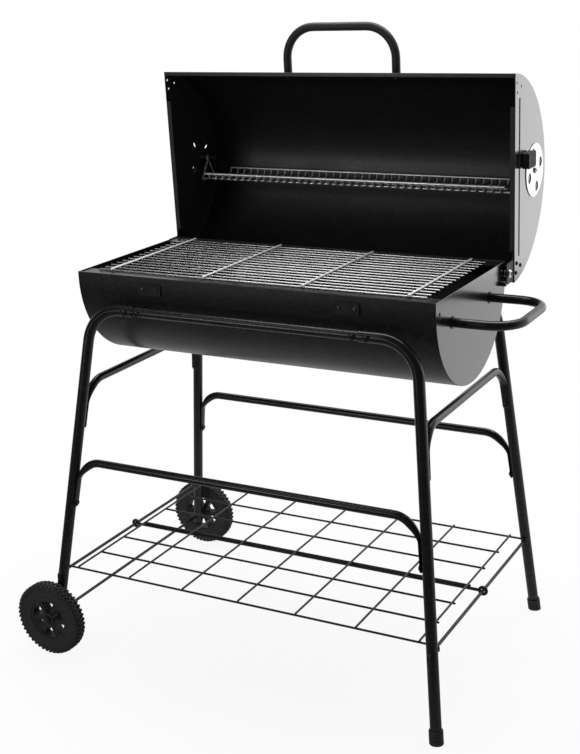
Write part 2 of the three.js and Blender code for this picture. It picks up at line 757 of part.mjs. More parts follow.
const wireRest = rackRodRadius + rackWireRadius - rackBottomDrop;
const rackPieces = [
  alongX(-rackHalfDepth, -rackTopDrop, -rackFrontHalf, rackFrontHalf, rackFrontRadius),
  alongX(rackHalfDepth, -rackTopDrop, -rackBackHalf, rackBackHalf, rackRodRadius),
  alongX(-rackBottomHalf, -rackBottomDrop, -hangerX - 5, hangerX + 5, rackRodRadius),
  alongX(rackBottomHalf, -rackBottomDrop, -hangerX - 5, hangerX + 5, rackRodRadius),
];
const wirePitch = (2 * (rackBackHalf - rackWireInset)) / (rackWireCount - 1);
for (let i = 0; i < rackWireCount; i += 1) {
  const x = (i - (rackWireCount - 1) / 2) * wirePitch;
  const wireHeight = wireRest + (i % weldEvery === 0 ? -wireSink : gap);
  rackPieces.push(sweep([
    vec(x, -rackHalfDepth, -rackTopDrop),
    vec(x, -rackHalfDepth + 3, wireHeight),
    vec(x, rackHalfDepth - 3, wireHeight),
    vec(x, rackHalfDepth, -rackTopDrop),
  ], rackWireRadius, 3));
}
place('warming_rack', join(rackPieces), colours.chrome, rack);

const eyeRadius = pinRadius + gap + rackWireRadius;
const stirrupLow = -rackBottomDrop - rackRodRadius - gap - rackWireRadius;
for (const [name, side] of sides) {
  const x = side * hangerX;
  const eye = new THREE.TorusGeometry(eyeRadius + 0.2, rackWireRadius, 6, 10);
  eye.rotateY(Math.PI / 2);
  eye.translate(x, 0, 0);
  const apex = -eyeRadius - 0.6;
  place(`rack_hanger_${name}`, join([
    toSolid(eye),
    rod(vec(x, -0.6, apex), vec(x, -hangerHalf, stirrupLow), rackWireRadius, 6),
    rod(vec(x, 0.6, apex), vec(x, hangerHalf, stirrupLow), rackWireRadius, 6),
    alongY(x, stirrupLow, -hangerHalf - 1, hangerHalf + 1, rackWireRadius, 6),
  ]), colours.chrome, rack);
}

// Legs
function legX(side, z) {
  return side > 0 ? legFootRight - legSlopeRight * z : -(legFootLeft - legSlopeLeft * z);
}

function legY(end, z) {
  return end * (legFootY - ((legFootY - railY) * z) / railHeight);
}

function legPoint(side, end, z) {
  return vec(legX(side, z), legY(end, z), z);
}

const axleHeight = wheelRadius;
const axleX = legX(-1, axleHeight);
const shelfRodX = { left: legX(-1, shelfRodHeight), right: legX(1, shelfRodHeight) };
for (const [endName, end] of ends) {
  for (const [sideName, side] of sides) {
    const foot = side < 0 ? legEndLeft : legEndRight;
    const path = roundedPath([
      vec(side * legRunEnd, end * railY, railHeight),
      legPoint(side, end, railHeight),
      legPoint(side, end, foot),
    ], legBend);
    const holes = [
      alongY(side * legScrewAt, railHeight, end * railY, end * (railY + 2 * legRadius),
        boltRadius + gap),
      alongY(shelfRodX[sideName], shelfRodHeight, legY(end, shelfRodHeight) - 2 * legRadius,
        legY(end, shelfRodHeight) + 2 * legRadius, shelfRodRadius + gap),
      alongX(legY(end, frontBraceBolt), frontBraceBolt,
        legX(side, frontBraceBolt) - side * 2 * legRadius, legX(side, frontBraceBolt),
        boltRadius + gap),
      alongY(legX(side, sideBraceBolt), sideBraceBolt,
        legY(end, sideBraceBolt) - end * 2 * legRadius, legY(end, sideBraceBolt),
        boltRadius + gap),
    ];
    if (side < 0) {
      holes.push(alongY(axleX, axleHeight, legY(end, axleHeight) - 2 * legRadius,
        legY(end, axleHeight) + 2 * legRadius, axleRadius + 2 * gap, 8));
    }
    place(`leg_${endName}_${sideName}`, cut(sweep(path, legRadius, tubeSides, legWall), holes),
      colours.paint);
    if (side > 0) {
      const sole = legPoint(side, end, -10);
      const ankle = legPoint(side, end, footHeight);
      const seat = legPoint(side, end, footFloor - 10);
      const foot = legPoint(side, end, 0);
      const reach = 3 * footRadius;
      const from = (height) => block([foot.x - reach, foot.y - reach, height],
        [foot.x + reach, foot.y + reach, 2 * footHeight]);
      const above = from(footFloor);
      const ground = from(0);
      const socket = rod(seat, legPoint(side, end, footHeight + 20),
        (legRadius + gap) / Math.cos(Math.PI / turnedSides), turnedSides);
      const cap = rod(sole, ankle, footRadius, turnedSides).intersect(ground);
      place(`foot_cap_${endName}`, cap.subtract(socket.intersect(above)), colours.plastic);
    }
  }
}

// Rails along the bowl, with the bolts that hold legs, rails and bowl together
const bowlDrop = bowlAxisHeight - railHeight;
const collarEnd = Math.sqrt(bowlRadius ** 2 - (bowlDrop - collarRadius) ** 2) + gap;
const nutEnd = Math.sqrt(bowlInner ** 2 - (bowlDrop + nutRadius) ** 2) - gap;
for (const [endName, end] of ends) {
  const pieces = [sweep([vec(-railHalf, end * railY, railHeight),
    vec(railHalf, end * railY, railHeight)], railRadius, tubeSides, legWall)];
  const wall = railRadius - 0.8;
  for (const [, side] of sides) {
    for (const [at, skin] of [[bowlBoltAt, railRadius - 0.5], [legScrewAt, legRadius + gap]]) {
      const x = side * at;
      const head = railY + skin;
      pieces.push(alongY(x, railHeight, end * (railY + wall), end * (head + 1), boltRadius));
      pieces.push(alongY(x, railHeight, end * head, end * (head + boltHeadHeight),
        boltHeadRadius, 8));
    }
    const x = side * bowlBoltAt;
    pieces.push(alongY(x, railHeight, end * (nutEnd - nutHeight - 2), end * (collarEnd + 2),
      boltRadius));
    pieces.push(alongY(x, railHeight, end * collarEnd, end * (railY - wall), collarRadius, 8));
    pieces.push(alongY(x, railHeight, end * (nutEnd - nutHeight), end * nutEnd, nutRadius));
  }
  place(`rail_${endName}`, join(pieces), colours.paint);
}

// Braces: bent tubes whose flattened ends are screwed to the inner sides of the legs
const braceOffset = legRadius + 2 * gap + braceRadius;
const tongueOffset = legRadius + 2 * gap + tongueThickness / 2;
const tongueFace = tongueOffset + tongueThickness / 2;

function braceTube(at, boltHeight, topHeight) {
  return sweep(roundedPath([
    at(-1, boltHeight + braceTail), at(-1, topHeight),
    at(1, topHeight), at(1, boltHeight + braceTail),
  ], braceBend), braceRadius, thinTubeSides, braceWall);
}

for (const [endName, end] of ends) {
  const at = (offset) => (side, z) => legPoint(side, end, z).sub(vec(side * offset, 0, 0));
  const z = frontBraceBolt;
  const y = legY(end, z);
  const pieces = [braceTube(at(braceOffset), z, frontBraceTop)];
  for (const [, side] of sides) {
    const face = legX(side, z) - side * tongueFace;
    pieces.push(bar(at(tongueOffset)(side, z - braceTail), at(tongueOffset)(side, z + tongueLength),
      tongueThickness, 2 * braceRadius));
    pieces.push(alongX(y, z, face + side, face + side * boltReach, boltRadius));
    pieces.push(alongX(y, z, face + side * weld, face - side * boltHeadHeight, boltHeadRadius, 8));
  }
  place(`brace_${endName}`, join(pieces), colours.paint);
}
for (const [sideName, side] of sides) {
  const at = (offset) => (end, z) => legPoint(side, end, z).sub(vec(0, end * offset, 0));
  const z = sideBraceBolt;
  const x = legX(side, z);
  const pieces = [braceTube(at(braceOffset), z, sideBraceTop)];
  for (const [, end] of ends) {
    const face = legY(end, z) - end * tongueFace;
    pieces.push(bar(at(tongueOffset)(end, z - braceTail), at(tongueOffset)(end, z + tongueLength),
      2 * braceRadius, tongueThickness));
    pieces.push(alongY(x, z, face + end, face + end * boltReach, boltRadius));
    pieces.push(alongY(x, z, face + end * weld, face - end * boltHeadHeight, boltHeadRadius, 8));
  }
  place(`brace_${sideName}`, join(pieces), colours.paint);
}

// Shelf: two rods through the legs, a tie rod between them and a wire grid on top
for (const [name] of sides) {
  const x = shelfRodX[name];
  const reach = Math.abs(legY(1, shelfRodHeight)) + legRadius + 6;
  place(`shelf_rod_${name}`, sweep(roundedPath([
    vec(x, -reach, shelfRodHeight - 11), vec(x, -reach, shelfRodHeight),
    vec(x, reach, shelfRodHeight), vec(x, reach, shelfRodHeight - 11),
  ], 3.2, 2), shelfRodRadius, boltSides), colours.wire);
}

const tieRodEye = shelfRodRadius * 2 + gap;
const tiePieces = [alongX(0, shelfRodHeight, shelfRodX.left + tieRodEye,
  shelfRodX.right - tieRodEye, shelfRodRadius)];
for (const x of [shelfRodX.left, shelfRodX.right]) {
  const eye = new THREE.TorusGeometry(tieRodEye + 0.3, shelfRodRadius, 6, 12);
  eye.rotateX(Math.PI / 2);
  eye.translate(x, 0, shelfRodHeight);
  tiePieces.push(toSolid(eye));
}
place('shelf_tie_rod', join(tiePieces), colours.wire);

const gridHeight = shelfRodHeight + shelfRodRadius + gap + shelfWireRadius;
const firstWire = shelfRodX.left + shelfWireInset;
const lastWire = shelfRodX.right - shelfWireInset;
const wireMiddle = (shelfWireCount - 1) / 2;
const gridPieces = [];
for (let i = 0; i < shelfWireCount; i += 1) {
  const x = firstWire + ((lastWire - firstWire) * i) / (shelfWireCount - 1);
  gridPieces.push(alongY(x, gridHeight + 2 * shelfWireRadius - weld,
    -shelfWireHalf - 1, shelfWireHalf + 1, shelfWireRadius, 6));
  const y = ((i - wireMiddle) * shelfWireHalf) / wireMiddle;
  if (Math.abs(i - wireMiddle) === wireMiddle) {
    gridPieces.push(sweep(roundedPath([
      vec(shelfRodX.left - shelfHookReach, y, gridHeight - 9),
      vec(shelfRodX.left - shelfHookReach, y, gridHeight),
      vec(shelfRodX.right + shelfHookReach, y, gridHeight),
      vec(shelfRodX.right + shelfHookReach, y, gridHeight - 9),
    ], 2.4, 2), shelfWireRadius, 6));
  } else {
    gridPieces.push(alongX(y, gridHeight, firstWire - 2 * shelfWireRadius,
      lastWire + 2 * shelfWireRadius, shelfWireRadius, 6));
  }
}
place('shelf_grid', join(gridPieces), colours.wire);

// Axle, wheels and axle caps
const hubOuter = wheelY + hubHalf;
const axleHalf = hubOuter + 5;
place('wheel_axle', alongY(axleX, axleHeight, -axleHalf, axleHalf, axleRadius, turnedSides),
  colours.zinc);

function lathe(profile, segments) {
  const geometry = new THREE.LatheGeometry(profile.map(([r, y]) => new THREE.Vector2(r, y)),
    segments);
  return toSolid(geometry);
}

const halfWidth = wheelWidth / 2;
const tyreProfile = [
  [wheelRadius - 22, halfWidth - 5], [wheelRadius - 7, halfWidth],
  [wheelRadius, halfWidth - 5], [wheelRadius, 5 - halfWidth],
  [wheelRadius - 7, -halfWidth], [wheelRadius - 22, 5 - halfWidth],
  [wheelRadius - 22, halfWidth - 5],
].reverse();
for (const [name, end] of ends) {
  const wheel = new THREE.Group();
  wheel.position.set(axleX, end * wheelY, axleHeight);
  grill.add(wheel);
  const pieces = [lathe(tyreProfile, 28),
    alongY(0, 0, -hubHalf, hubHalf, hubRadius, turnedSides)];
  for (let i = 0; i < spokeCount; i += 1) {
    const spoke = block([-5, -6, hubRadius - 3], [5, 6, wheelRadius - 20]);
    pieces.push(spoke.rotate([0, (360 * i) / spokeCount, 0]));
  }
  const bore = alongY(0, 0, -40, 40, (axleRadius + runningGap) / Math.cos(Math.PI / turnedSides),
    turnedSides);
  place(`wheel_${name}`, join(pieces).subtract(bore), colours.plastic, wheel);

  const capAt = hubOuter + gap;
  place(`axle_cap_${name}`, join([
    alongY(axleX, axleHeight, end * capAt, end * (capAt + capHeight - 3), capRadius, turnedSides),
    rod(vec(axleX, end * (capAt + capHeight - 3.1), axleHeight),
      vec(axleX, end * (capAt + capHeight), axleHeight), capRadius, turnedSides, capRadius * 0.6),
  ]).subtract(alongY(axleX, axleHeight, 0, end * (axleHalf + gap), axleRadius + gap, turnedSides)),
  colours.hardware);
}

// The whole grill stands on the ground with its box centred over the origin
const stand = new THREE.Group();
stand.name = 'charcoal_grill';
stand.add(grill);
const bounds = new THREE.Box3().setFromObject(stand, true);
const middle = bounds.getCenter(new THREE.Vector3());
grill.position.set(-middle.x, -middle.y, -bounds.min.z);

export default stand;
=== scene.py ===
import json
import math

import bmesh
import bpy
from mathutils import Euler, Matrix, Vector

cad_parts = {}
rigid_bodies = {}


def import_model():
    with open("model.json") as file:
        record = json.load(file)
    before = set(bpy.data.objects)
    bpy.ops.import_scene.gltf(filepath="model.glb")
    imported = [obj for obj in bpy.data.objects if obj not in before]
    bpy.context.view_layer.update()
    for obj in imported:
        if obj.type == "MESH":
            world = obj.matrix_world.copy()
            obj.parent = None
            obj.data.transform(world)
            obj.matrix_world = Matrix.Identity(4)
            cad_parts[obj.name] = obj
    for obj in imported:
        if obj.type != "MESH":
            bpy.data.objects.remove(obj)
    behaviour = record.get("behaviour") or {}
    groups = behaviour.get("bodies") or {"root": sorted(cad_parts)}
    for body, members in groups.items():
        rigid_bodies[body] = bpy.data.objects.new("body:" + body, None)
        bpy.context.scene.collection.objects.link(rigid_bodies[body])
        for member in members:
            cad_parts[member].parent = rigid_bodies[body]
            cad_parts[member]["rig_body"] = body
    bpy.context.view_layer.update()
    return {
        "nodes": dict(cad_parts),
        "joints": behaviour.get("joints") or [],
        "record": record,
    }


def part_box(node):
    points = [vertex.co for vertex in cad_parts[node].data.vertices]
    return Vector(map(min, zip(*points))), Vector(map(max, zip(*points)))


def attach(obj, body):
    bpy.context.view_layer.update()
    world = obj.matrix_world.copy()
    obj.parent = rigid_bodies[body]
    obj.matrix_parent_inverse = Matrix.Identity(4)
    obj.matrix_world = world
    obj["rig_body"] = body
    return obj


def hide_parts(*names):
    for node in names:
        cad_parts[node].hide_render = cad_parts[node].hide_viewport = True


# Barrel charcoal grill on a wheeled tube stand: metres, +Z up, +X towards the side handle

for leftover in list(bpy.data.objects):
    bpy.data.objects.remove(leftover)
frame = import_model()
print("frame loaded:", len(frame["nodes"]), "parts")

sides = {"left": -1, "right": 1}
ends = {"front": -1, "back": 1}
touch = 0.00001  # places nearer than this count as one
flatOn = 0.9  # a face looks one way when its normal has more than this of it


# Selecting, cutting and finishing

def selectOnly(*pieces):
    if bpy.context.object and bpy.context.object.mode != "OBJECT":
        bpy.ops.object.mode_set(mode="OBJECT")
    bpy.ops.object.select_all(action="DESELECT")
    for piece in pieces:
        piece.select_set(True)
    bpy.context.view_layer.objects.active = pieces[0] if pieces else None


def settle(piece):
    selectOnly(piece)
    bpy.ops.object.transform_apply(location=True, rotation=True, scale=True)
    return piece


def edit(piece, everything=False):
    selectOnly(piece)
    bpy.ops.object.mode_set(mode="EDIT")
    bpy.ops.mesh.select_mode(type="VERT")
    if everything:
        bpy.ops.mesh.select_all(action="SELECT")


def leaveEdit():
    bpy.ops.object.mode_set(mode="OBJECT")


def pick(kind, fits):  # selects points, edges or faces by where they are
    bpy.ops.mesh.select_all(action="DESELECT")
    bpy.ops.mesh.select_mode(type=kind)
    mesh = bpy.context.object.data
    shape = bmesh.from_edit_mesh(mesh)
    shape.normal_update()
    for part in {"VERT": shape.verts, "EDGE": shape.edges, "FACE": shape.faces}[kind]:
        if kind == "VERT":
            chosen = fits(part.co)
        elif kind == "EDGE":
            chosen = fits(part.verts[0].co, part.verts[1].co)
        else:
            chosen = fits(part.calc_center_median(), part.normal)
        if chosen:
            part.select_set(True)
    shape.select_flush_mode()
    bmesh.update_edit_mesh(mesh)


def bevelPicked(width, segments, fits=None):  # rounds the edges that fit, or those selected
    if fits:
        pick("EDGE", fits)
    bpy.ops.mesh.bevel(offset=width, segments=segments, affect="EDGES")


def push(step):
    bpy.ops.mesh.extrude_region_move(TRANSFORM_OT_translate={"value": Vector(step)})


def cutLevel(height, keepAbove=True, fill=False):  # cuts what is selected at one height
    bpy.ops.mesh.bisect(plane_co=(0, 0, height), plane_no=(0, 0, 1), use_fill=fill,
                        clear_inner=keepAbove, clear_outer=not keepAbove)


def facesOutward(piece):
    edit(piece, everything=True)
    bpy.ops.mesh.remove_doubles(threshold=touch / 5)
    bpy.ops.mesh.normals_make_consistent(inside=False)
    leaveEdit()
    return piece


def modify(piece, kind, **values):  # adds a modifier and applies it
    selectOnly(piece)
    modifier = piece.modifiers.new(kind.lower(), kind)
    for key, value in values.items():
        setattr(modifier, key, value)
    bpy.ops.object.modifier_apply(modifier=modifier.name)
    return piece


def roundEdges(piece, width, segments=2, angle=40):
    return modify(piece, "BEVEL", width=width, segments=segments, limit_method="ANGLE",
                  angle_limit=math.radians(angle), use_clamp_overlap=True)


def repeated(piece, count, step):
    return modify(piece, "ARRAY", count=count, use_relative_offset=False,
                  use_constant_offset=True, constant_offset_displace=step)


def carve(piece, cutters, operation="DIFFERENCE"):
    for cutter in cutters:
        modify(piece, "BOOLEAN", object=cutter, operation=operation, solver="EXACT")
        bpy.data.objects.remove(cutter)
    return modify(piece, "WELD", merge_threshold=2 * touch)


def joined(*pieces):
    selectOnly(*pieces)
    bpy.ops.object.join()
    return bpy.context.object


def camelName(node):
    first, *rest = node.split("_")
    return first + "".join(word.capitalize() for word in rest)


def finishPiece(piece, node, material, smooth=35):
    settle(piece)
    bpy.ops.object.shade_smooth_by_angle(angle=math.radians(smooth))
    modify(piece, "WEIGHTED_NORMAL", keep_sharp=True)
    piece.name = camelName(node)
    piece.data.name = piece.name
    piece.data.materials.clear()
    piece.data.materials.append(material)
    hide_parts(node)
    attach(piece, frame["nodes"][node]["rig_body"])
    return piece


def repaint(piece, material, fits):  # a second finish on the faces that fit
    piece.data.materials.append(material)
    for face in piece.data.polygons:
        face.material_index = int(fits(face))


# Shapes that several pieces are made of

def facing(direction):
    return Vector(direction).to_track_quat("Z", "Y").to_euler()


def roundBar(start, stop, radius, sides=24):
    start, stop = Vector(start), Vector(stop)
    selectOnly()
    bpy.ops.mesh.primitive_cylinder_add(vertices=sides, radius=radius,
                                        depth=(stop - start).length,
                                        location=(start + stop) / 2,
                                        rotation=facing(stop - start))
    return settle(bpy.context.object)


def boxBetween(corner, opposite):
    corner, opposite = Vector(corner), Vector(opposite)
    selectOnly()
    bpy.ops.mesh.primitive_cube_add(size=1, location=(corner + opposite) / 2)
    bpy.context.object.scale = [abs(size) for size in opposite - corner]
    return settle(bpy.context.object)


def ring(place, turn, radius, thickness, around, across):
    selectOnly()
    bpy.ops.mesh.primitive_torus_add(location=place, rotation=turn, major_radius=radius,
                                     minor_radius=thickness, major_segments=around,
                                     minor_segments=across)
    return settle(bpy.context.object)


def plate(outline, start, thickness):  # an outline of Y and Z places drawn out along X
    selectOnly()
    bpy.ops.mesh.primitive_circle_add(vertices=len(outline), radius=1, fill_type="NGON")
    piece = bpy.context.object
    for point, (y, z) in zip(piece.data.vertices, outline):
        point.co = (start, y, z)
    edit(piece, everything=True)
    push((thickness, 0, 0))
    leaveEdit()
    return facesOutward(piece)


def lathe(profile, centre, direction, steps=28):  # radius and height pairs turned round a line
    centre, direction = Vector(centre), Vector(direction).normalized()
    across = direction.orthogonal().normalized()
    selectOnly()
    bpy.ops.mesh.primitive_circle_add(vertices=len(profile), radius=1, fill_type="NOTHING")
    piece = bpy.context.object
    for point, (radius, height) in zip(piece.data.vertices, profile):
        point.co = centre + across * radius + direction * height
    edit(piece, everything=True)
    bpy.ops.mesh.spin(steps=steps, angle=2 * math.pi, center=centre, axis=direction,
                      use_auto_merge=True)
    bpy.ops.mesh.select_all(action="SELECT")
    bpy.ops.mesh.remove_doubles(threshold=touch / 2)
    bpy.ops.mesh.dissolve_degenerate(threshold=touch / 2)
    leaveEdit()
    return facesOutward(piece)


shapeStyle = {"ringReach": 1.05, "plugDepth": 0.012, "washerEdge": 0.25, "nutRound": 0.12}


def nearRing(point, direction, radius):
    def fits(place):
        away = place - point
        return abs(away.dot(direction)) < touch and away.length < radius * shapeStyle["ringReach"]
    return fits


def closeEnd(point, direction, radius, wall, tip):  # bores a walled tube, or rounds a solid one
    pick("VERT", nearRing(point, direction, radius))
    bpy.ops.mesh.edge_face_add()
    if wall:
        bpy.ops.mesh.inset(thickness=wall)
        push(-direction * min(shapeStyle["plugDepth"], 2 * radius))
    elif tip:
        bevelPicked(tip, 2)


def bentTube(corners, radius, bend=0.0, sides=24, steps=8, wall=0.0, tip=0.0):
    corners = [Vector(corner) for corner in corners]
    first = (corners[1] - corners[0]).normalized()
    last = (corners[-1] - corners[-2]).normalized()
    selectOnly()
    bpy.ops.mesh.primitive_circle_add(vertices=sides, radius=radius, fill_type="NOTHING",
                                      location=corners[0], rotation=facing(first))
    piece = settle(bpy.context.object)
    edit(piece, everything=True)
    here = corners[0]
    for before, corner, after in zip(corners, corners[1:], corners[2:]):
        back, ahead = (before - corner).normalized(), (after - corner).normalized()
        half = back.angle(ahead) / 2
        reach = bend / math.tan(half)
        centre = corner + (back + ahead).normalized() * (bend / math.sin(half))
        push(corner + back * reach - here)
        bpy.ops.mesh.spin(steps=steps, angle=math.pi - 2 * half, center=centre,
                          axis=back.cross(ahead).normalized())
        here = corner + ahead * reach
    push(corners[-1] - here)
    closeEnd(corners[0], -first, radius, wall, tip)
    closeEnd(corners[-1], last, radius, wall, tip)
    leaveEdit()
    return facesOutward(piece)


headStyle = {"slotWidth": 0.22, "slotDepth": 0.9, "slotAt": 1.05,
             "outline": ((1, 0.3), (0.92, 0.62), (0.7, 0.87), (0.4, 0.98))}


def domedHead(base, direction, radius, height, slot):  # a pan head with a cross recess
    base, direction = Vector(base), Vector(direction).normalized()
    dome = [(radius * out, height * up) for out, up in headStyle["outline"]]
    head = lathe([(0, 0), (radius, 0), *dome, (0, height)], base, direction)
    across = direction.orthogonal().normalized()
    for turn in (across, direction.cross(across)):
        size = (turn * slot + direction.cross(turn) * slot * headStyle["slotWidth"]
                + direction * height * headStyle["slotDepth"])
        cutter = boxBetween(-size / 2, size / 2)
        cutter.location = base + direction * height * headStyle["slotAt"]
        carve(head, [settle(cutter)])
    return head


def washer(base, direction, radius, hole, height):
    edge = height * shapeStyle["washerEdge"]
    return lathe([(hole, 0), (radius - edge, 0), (radius, edge), (radius, height - edge),
                  (radius - edge, height), (hole, height)], base, direction)


def hexNut(base, direction, radius, height):
    stop = Vector(base) + Vector(direction).normalized() * height
    return roundEdges(roundBar(base, stop, radius, sides=6), height * shapeStyle["nutRound"])


# Surface effects, each one a node group

def startGroup(name, inputs, outputs):
    tree = bpy.data.node_groups.new(name, "ShaderNodeTree")
    for label, value in inputs.items():
        kind = "NodeSocketVector" if value is None else "NodeSocketFloat"
        socket = tree.interface.new_socket(name=label, in_out="INPUT", socket_type=kind)
        if value is not None:
            socket.default_value = value
    for label, kind in outputs.items():
        tree.interface.new_socket(name=label, in_out="OUTPUT", socket_type=kind)
    return tree, tree.nodes.new("NodeGroupInput"), tree.nodes.new("NodeGroupOutput")


def feed(tree, socket, value):  # links what another node gives, or sets a constant
    if isinstance(value, bpy.types.NodeSocket):
        tree.links.new(value, socket)
    else:
        socket.default_value = value


def add(tree, kind, settings=None, **sockets):
    node = tree.nodes.new(kind)
    for key, value in (settings or {}).items():
        setattr(node, key, value)
    for label, value in sockets.items():
        feed(tree, node.inputs[label.replace("_", " ")], value)
    return node


def sums(tree, operation, first, second, clamp=False):
    node = add(tree, "ShaderNodeMath", {"operation": operation, "use_clamp": clamp})
    for socket, value in zip(node.inputs, (first, second)):
        feed(tree, socket, value)
    return node.outputs[0]


def spread(tree, value, low, high, toLow=0.0, toHigh=1.0):
    node = add(tree, "ShaderNodeMapRange", Value=value, From_Min=low, From_Max=high,
               To_Min=toLow, To_Max=toHigh)
    return node.outputs["Result"]


def noise(tree, start, **values):
    given = {"Vector": start.outputs["Place"], "Scale": start.outputs["Scale"], **values}
    return add(tree, "ShaderNodeTexNoise", **given).outputs["Fac"]


effectStyle = {"gritFiner": 7.0, "peelRise": 0.0004, "lineRise": 0.0002, "lineStretch": 0.04,
               "facingUp": (0.1, 1.0), "dustPatches": (0.35, 0.75), "rubbed": (0.52, 0.6),
               "chips": (0.5, 0.72), "lineShades": (0.3, 0.75), "dustScale": 14.0,
               "wearScale": 130.0, "shineScale": 8.0, "dustDulls": 0.5}


def makeOrangePeel():  # the soft ripple of sprayed paint with a fine grit on it
    tree, start, stop = startGroup("orangePeel", {"Place": None, "Scale": 260.0, "Depth": 0.2,
                                                  "Grit": 0.2}, {"Normal": "NodeSocketVector"})
    ripple = noise(tree, start, Detail=2.0)
    finer = sums(tree, "MULTIPLY", start.outputs["Scale"], effectStyle["gritFiner"])
    grit = noise(tree, start, Scale=finer, Detail=1.0)
    height = sums(tree, "ADD", ripple, sums(tree, "MULTIPLY", grit, start.outputs["Grit"]))
    bump = add(tree, "ShaderNodeBump", Strength=start.outputs["Depth"],
               Distance=effectStyle["peelRise"], Height=height)
    tree.links.new(bump.outputs["Normal"], stop.inputs["Normal"])
    return tree


def finishMask(tree, start, stop, where, patches):
    mask = sums(tree, "MULTIPLY", sums(tree, "MULTIPLY", where, patches),
                start.outputs["Amount"])
    tree.links.new(mask, stop.inputs["Mask"])
    return tree


def makeSettledDust():  # a pale film on what faces up
    tree, start, stop = startGroup("settledDust", {"Place": None, "Facing": None, "Scale": 14.0,
                                                   "Amount": 0.2}, {"Mask": "NodeSocketFloat"})
    up = add(tree, "ShaderNodeSeparateXYZ", Vector=start.outputs["Facing"])
    level = spread(tree, up.outputs["Z"], *effectStyle["facingUp"])
    cloud = noise(tree, start, Detail=6.0, Roughness=0.65)
    patches = spread(tree, cloud, *effectStyle["dustPatches"])
    return finishMask(tree, start, stop, level, patches)


def makeEdgeWear():  # rubbed corners, broken up so that no edge is an even line
    tree, start, stop = startGroup("edgeWear", {"Place": None, "Scale": 120.0, "Amount": 0.4},
                                   {"Mask": "NodeSocketFloat"})
    shape = tree.nodes.new("ShaderNodeNewGeometry")
    corner = spread(tree, shape.outputs["Pointiness"], *effectStyle["rubbed"])
    chips = noise(tree, start, Detail=5.0, Roughness=0.7)
    return finishMask(tree, start, stop, corner, spread(tree, chips, *effectStyle["chips"]))


def makeHandling():  # uneven shine left by hands, heat and rain
    tree, start, stop = startGroup("handling", {"Place": None, "Scale": 9.0, "Middle": 0.4,
                                                "Change": 0.1}, {"Roughness": "NodeSocketFloat"})
    away = sums(tree, "SUBTRACT", noise(tree, start, Detail=4.0, Roughness=0.6), 0.5)
    rough = sums(tree, "ADD", start.outputs["Middle"],
                 sums(tree, "MULTIPLY", away, start.outputs["Change"]), clamp=True)
    tree.links.new(rough, stop.inputs["Roughness"])
    return tree


def makeDrawnLines():  # fine lines that drawing and rubbing leave on bare metal
    tree, start, stop = startGroup("drawnLines", {"Place": None, "Scale": 500.0, "Depth": 0.1},
                                   {"Normal": "NodeSocketVector", "Lines": "NodeSocketFloat"})
    turned = add(tree, "ShaderNodeMapping", Vector=start.outputs["Place"],
                 Scale=(effectStyle["lineStretch"], 1.0, 1.0))
    lines = noise(tree, start, Vector=turned.outputs["Vector"], Detail=3.0)
    bump = add(tree, "ShaderNodeBump", Strength=start.outputs["Depth"],
               Distance=effectStyle["lineRise"], Height=lines)
    tree.links.new(bump.outputs["Normal"], stop.inputs["Normal"])
    tree.links.new(lines, stop.inputs["Lines"])
    return tree


orangePeel = makeOrangePeel()
settledDust = makeSettledDust()
edgeWear = makeEdgeWear()
handling = makeHandling()
drawnLines = makeDrawnLines()


def useGroup(tree, group, **sockets):
    return add(tree, "ShaderNodeGroup", {"node_tree": group}, **sockets)


def mixColours(tree, amount, first, second):
    node = add(tree, "ShaderNodeMix", {"data_type": "RGBA"}, Factor=amount)
    for label, value in (("A", first), ("B", second)):
        socket = next(s for s in node.inputs if s.name == label and s.type == "RGBA")
        feed(tree, socket, (*value, 1) if isinstance(value, tuple) else value)
    return next(s for s in node.outputs if s.type == "RGBA")


def startMaterial(name):
    material = bpy.data.materials.new(name)
    material.use_nodes = True
    tree = material.node_tree
    places = tree.nodes.new("ShaderNodeTexCoord")
    return material, tree, tree.nodes["Principled BSDF"], places


coatLook = {"colour": (0.007, 0.007, 0.0068), "dustColour": (0.16, 0.15, 0.13),
            "wornColour": (0.07, 0.066, 0.062), "roughness": 0.24, "roughChange": 0.14,
            "grainScale": 420.0, "grainDepth": 0.06, "grit": 0.2, "dust": 0.025, "wear": 0.3,
            "metallic": 0.0, "specular": 0.4, "coat": 0.0, "coatRoughness": 0.1}


def coatedFinish(name, **changes):  # paint or moulded plastic
    look = {**coatLook, **changes}
    material, tree, shader, places = startMaterial(name)
    place = places.outputs["Object"]
    peel = useGroup(tree, orangePeel, Place=place, Scale=look["grainScale"],
                    Depth=look["grainDepth"], Grit=look["grit"])
    dust = useGroup(tree, settledDust, Place=place, Facing=places.outputs["Normal"],
                    Scale=effectStyle["dustScale"], Amount=look["dust"])
    wear = useGroup(tree, edgeWear, Place=place, Scale=effectStyle["wearScale"],
                    Amount=look["wear"])
    shine = useGroup(tree, handling, Place=place, Scale=effectStyle["shineScale"],
                     Middle=look["roughness"], Change=look["roughChange"])
    dusty = mixColours(tree, dust.outputs["Mask"], look["colour"], look["dustColour"])
    worn = mixColours(tree, wear.outputs["Mask"], dusty, look["wornColour"])
    film = sums(tree, "MULTIPLY", dust.outputs["Mask"], effectStyle["dustDulls"])
    dulled = sums(tree, "ADD", shine.outputs["Roughness"], film, clamp=True)
    for label, value in (("Base Color", worn), ("Roughness", dulled),
                         ("Normal", peel.outputs["Normal"]), ("Metallic", look["metallic"]),
                         ("Specular IOR Level", look["specular"]), ("Coat Weight", look["coat"]),
                         ("Coat Roughness", look["coatRoughness"])):
        feed(tree, shader.inputs[label], value)
    return material


metalLook = {"roughness": 0.42, "roughChange": 0.12, "lineScale": 700.0, "lineDepth": 0.08,
             "patchScale": 20.0, "metallic": 1.0}


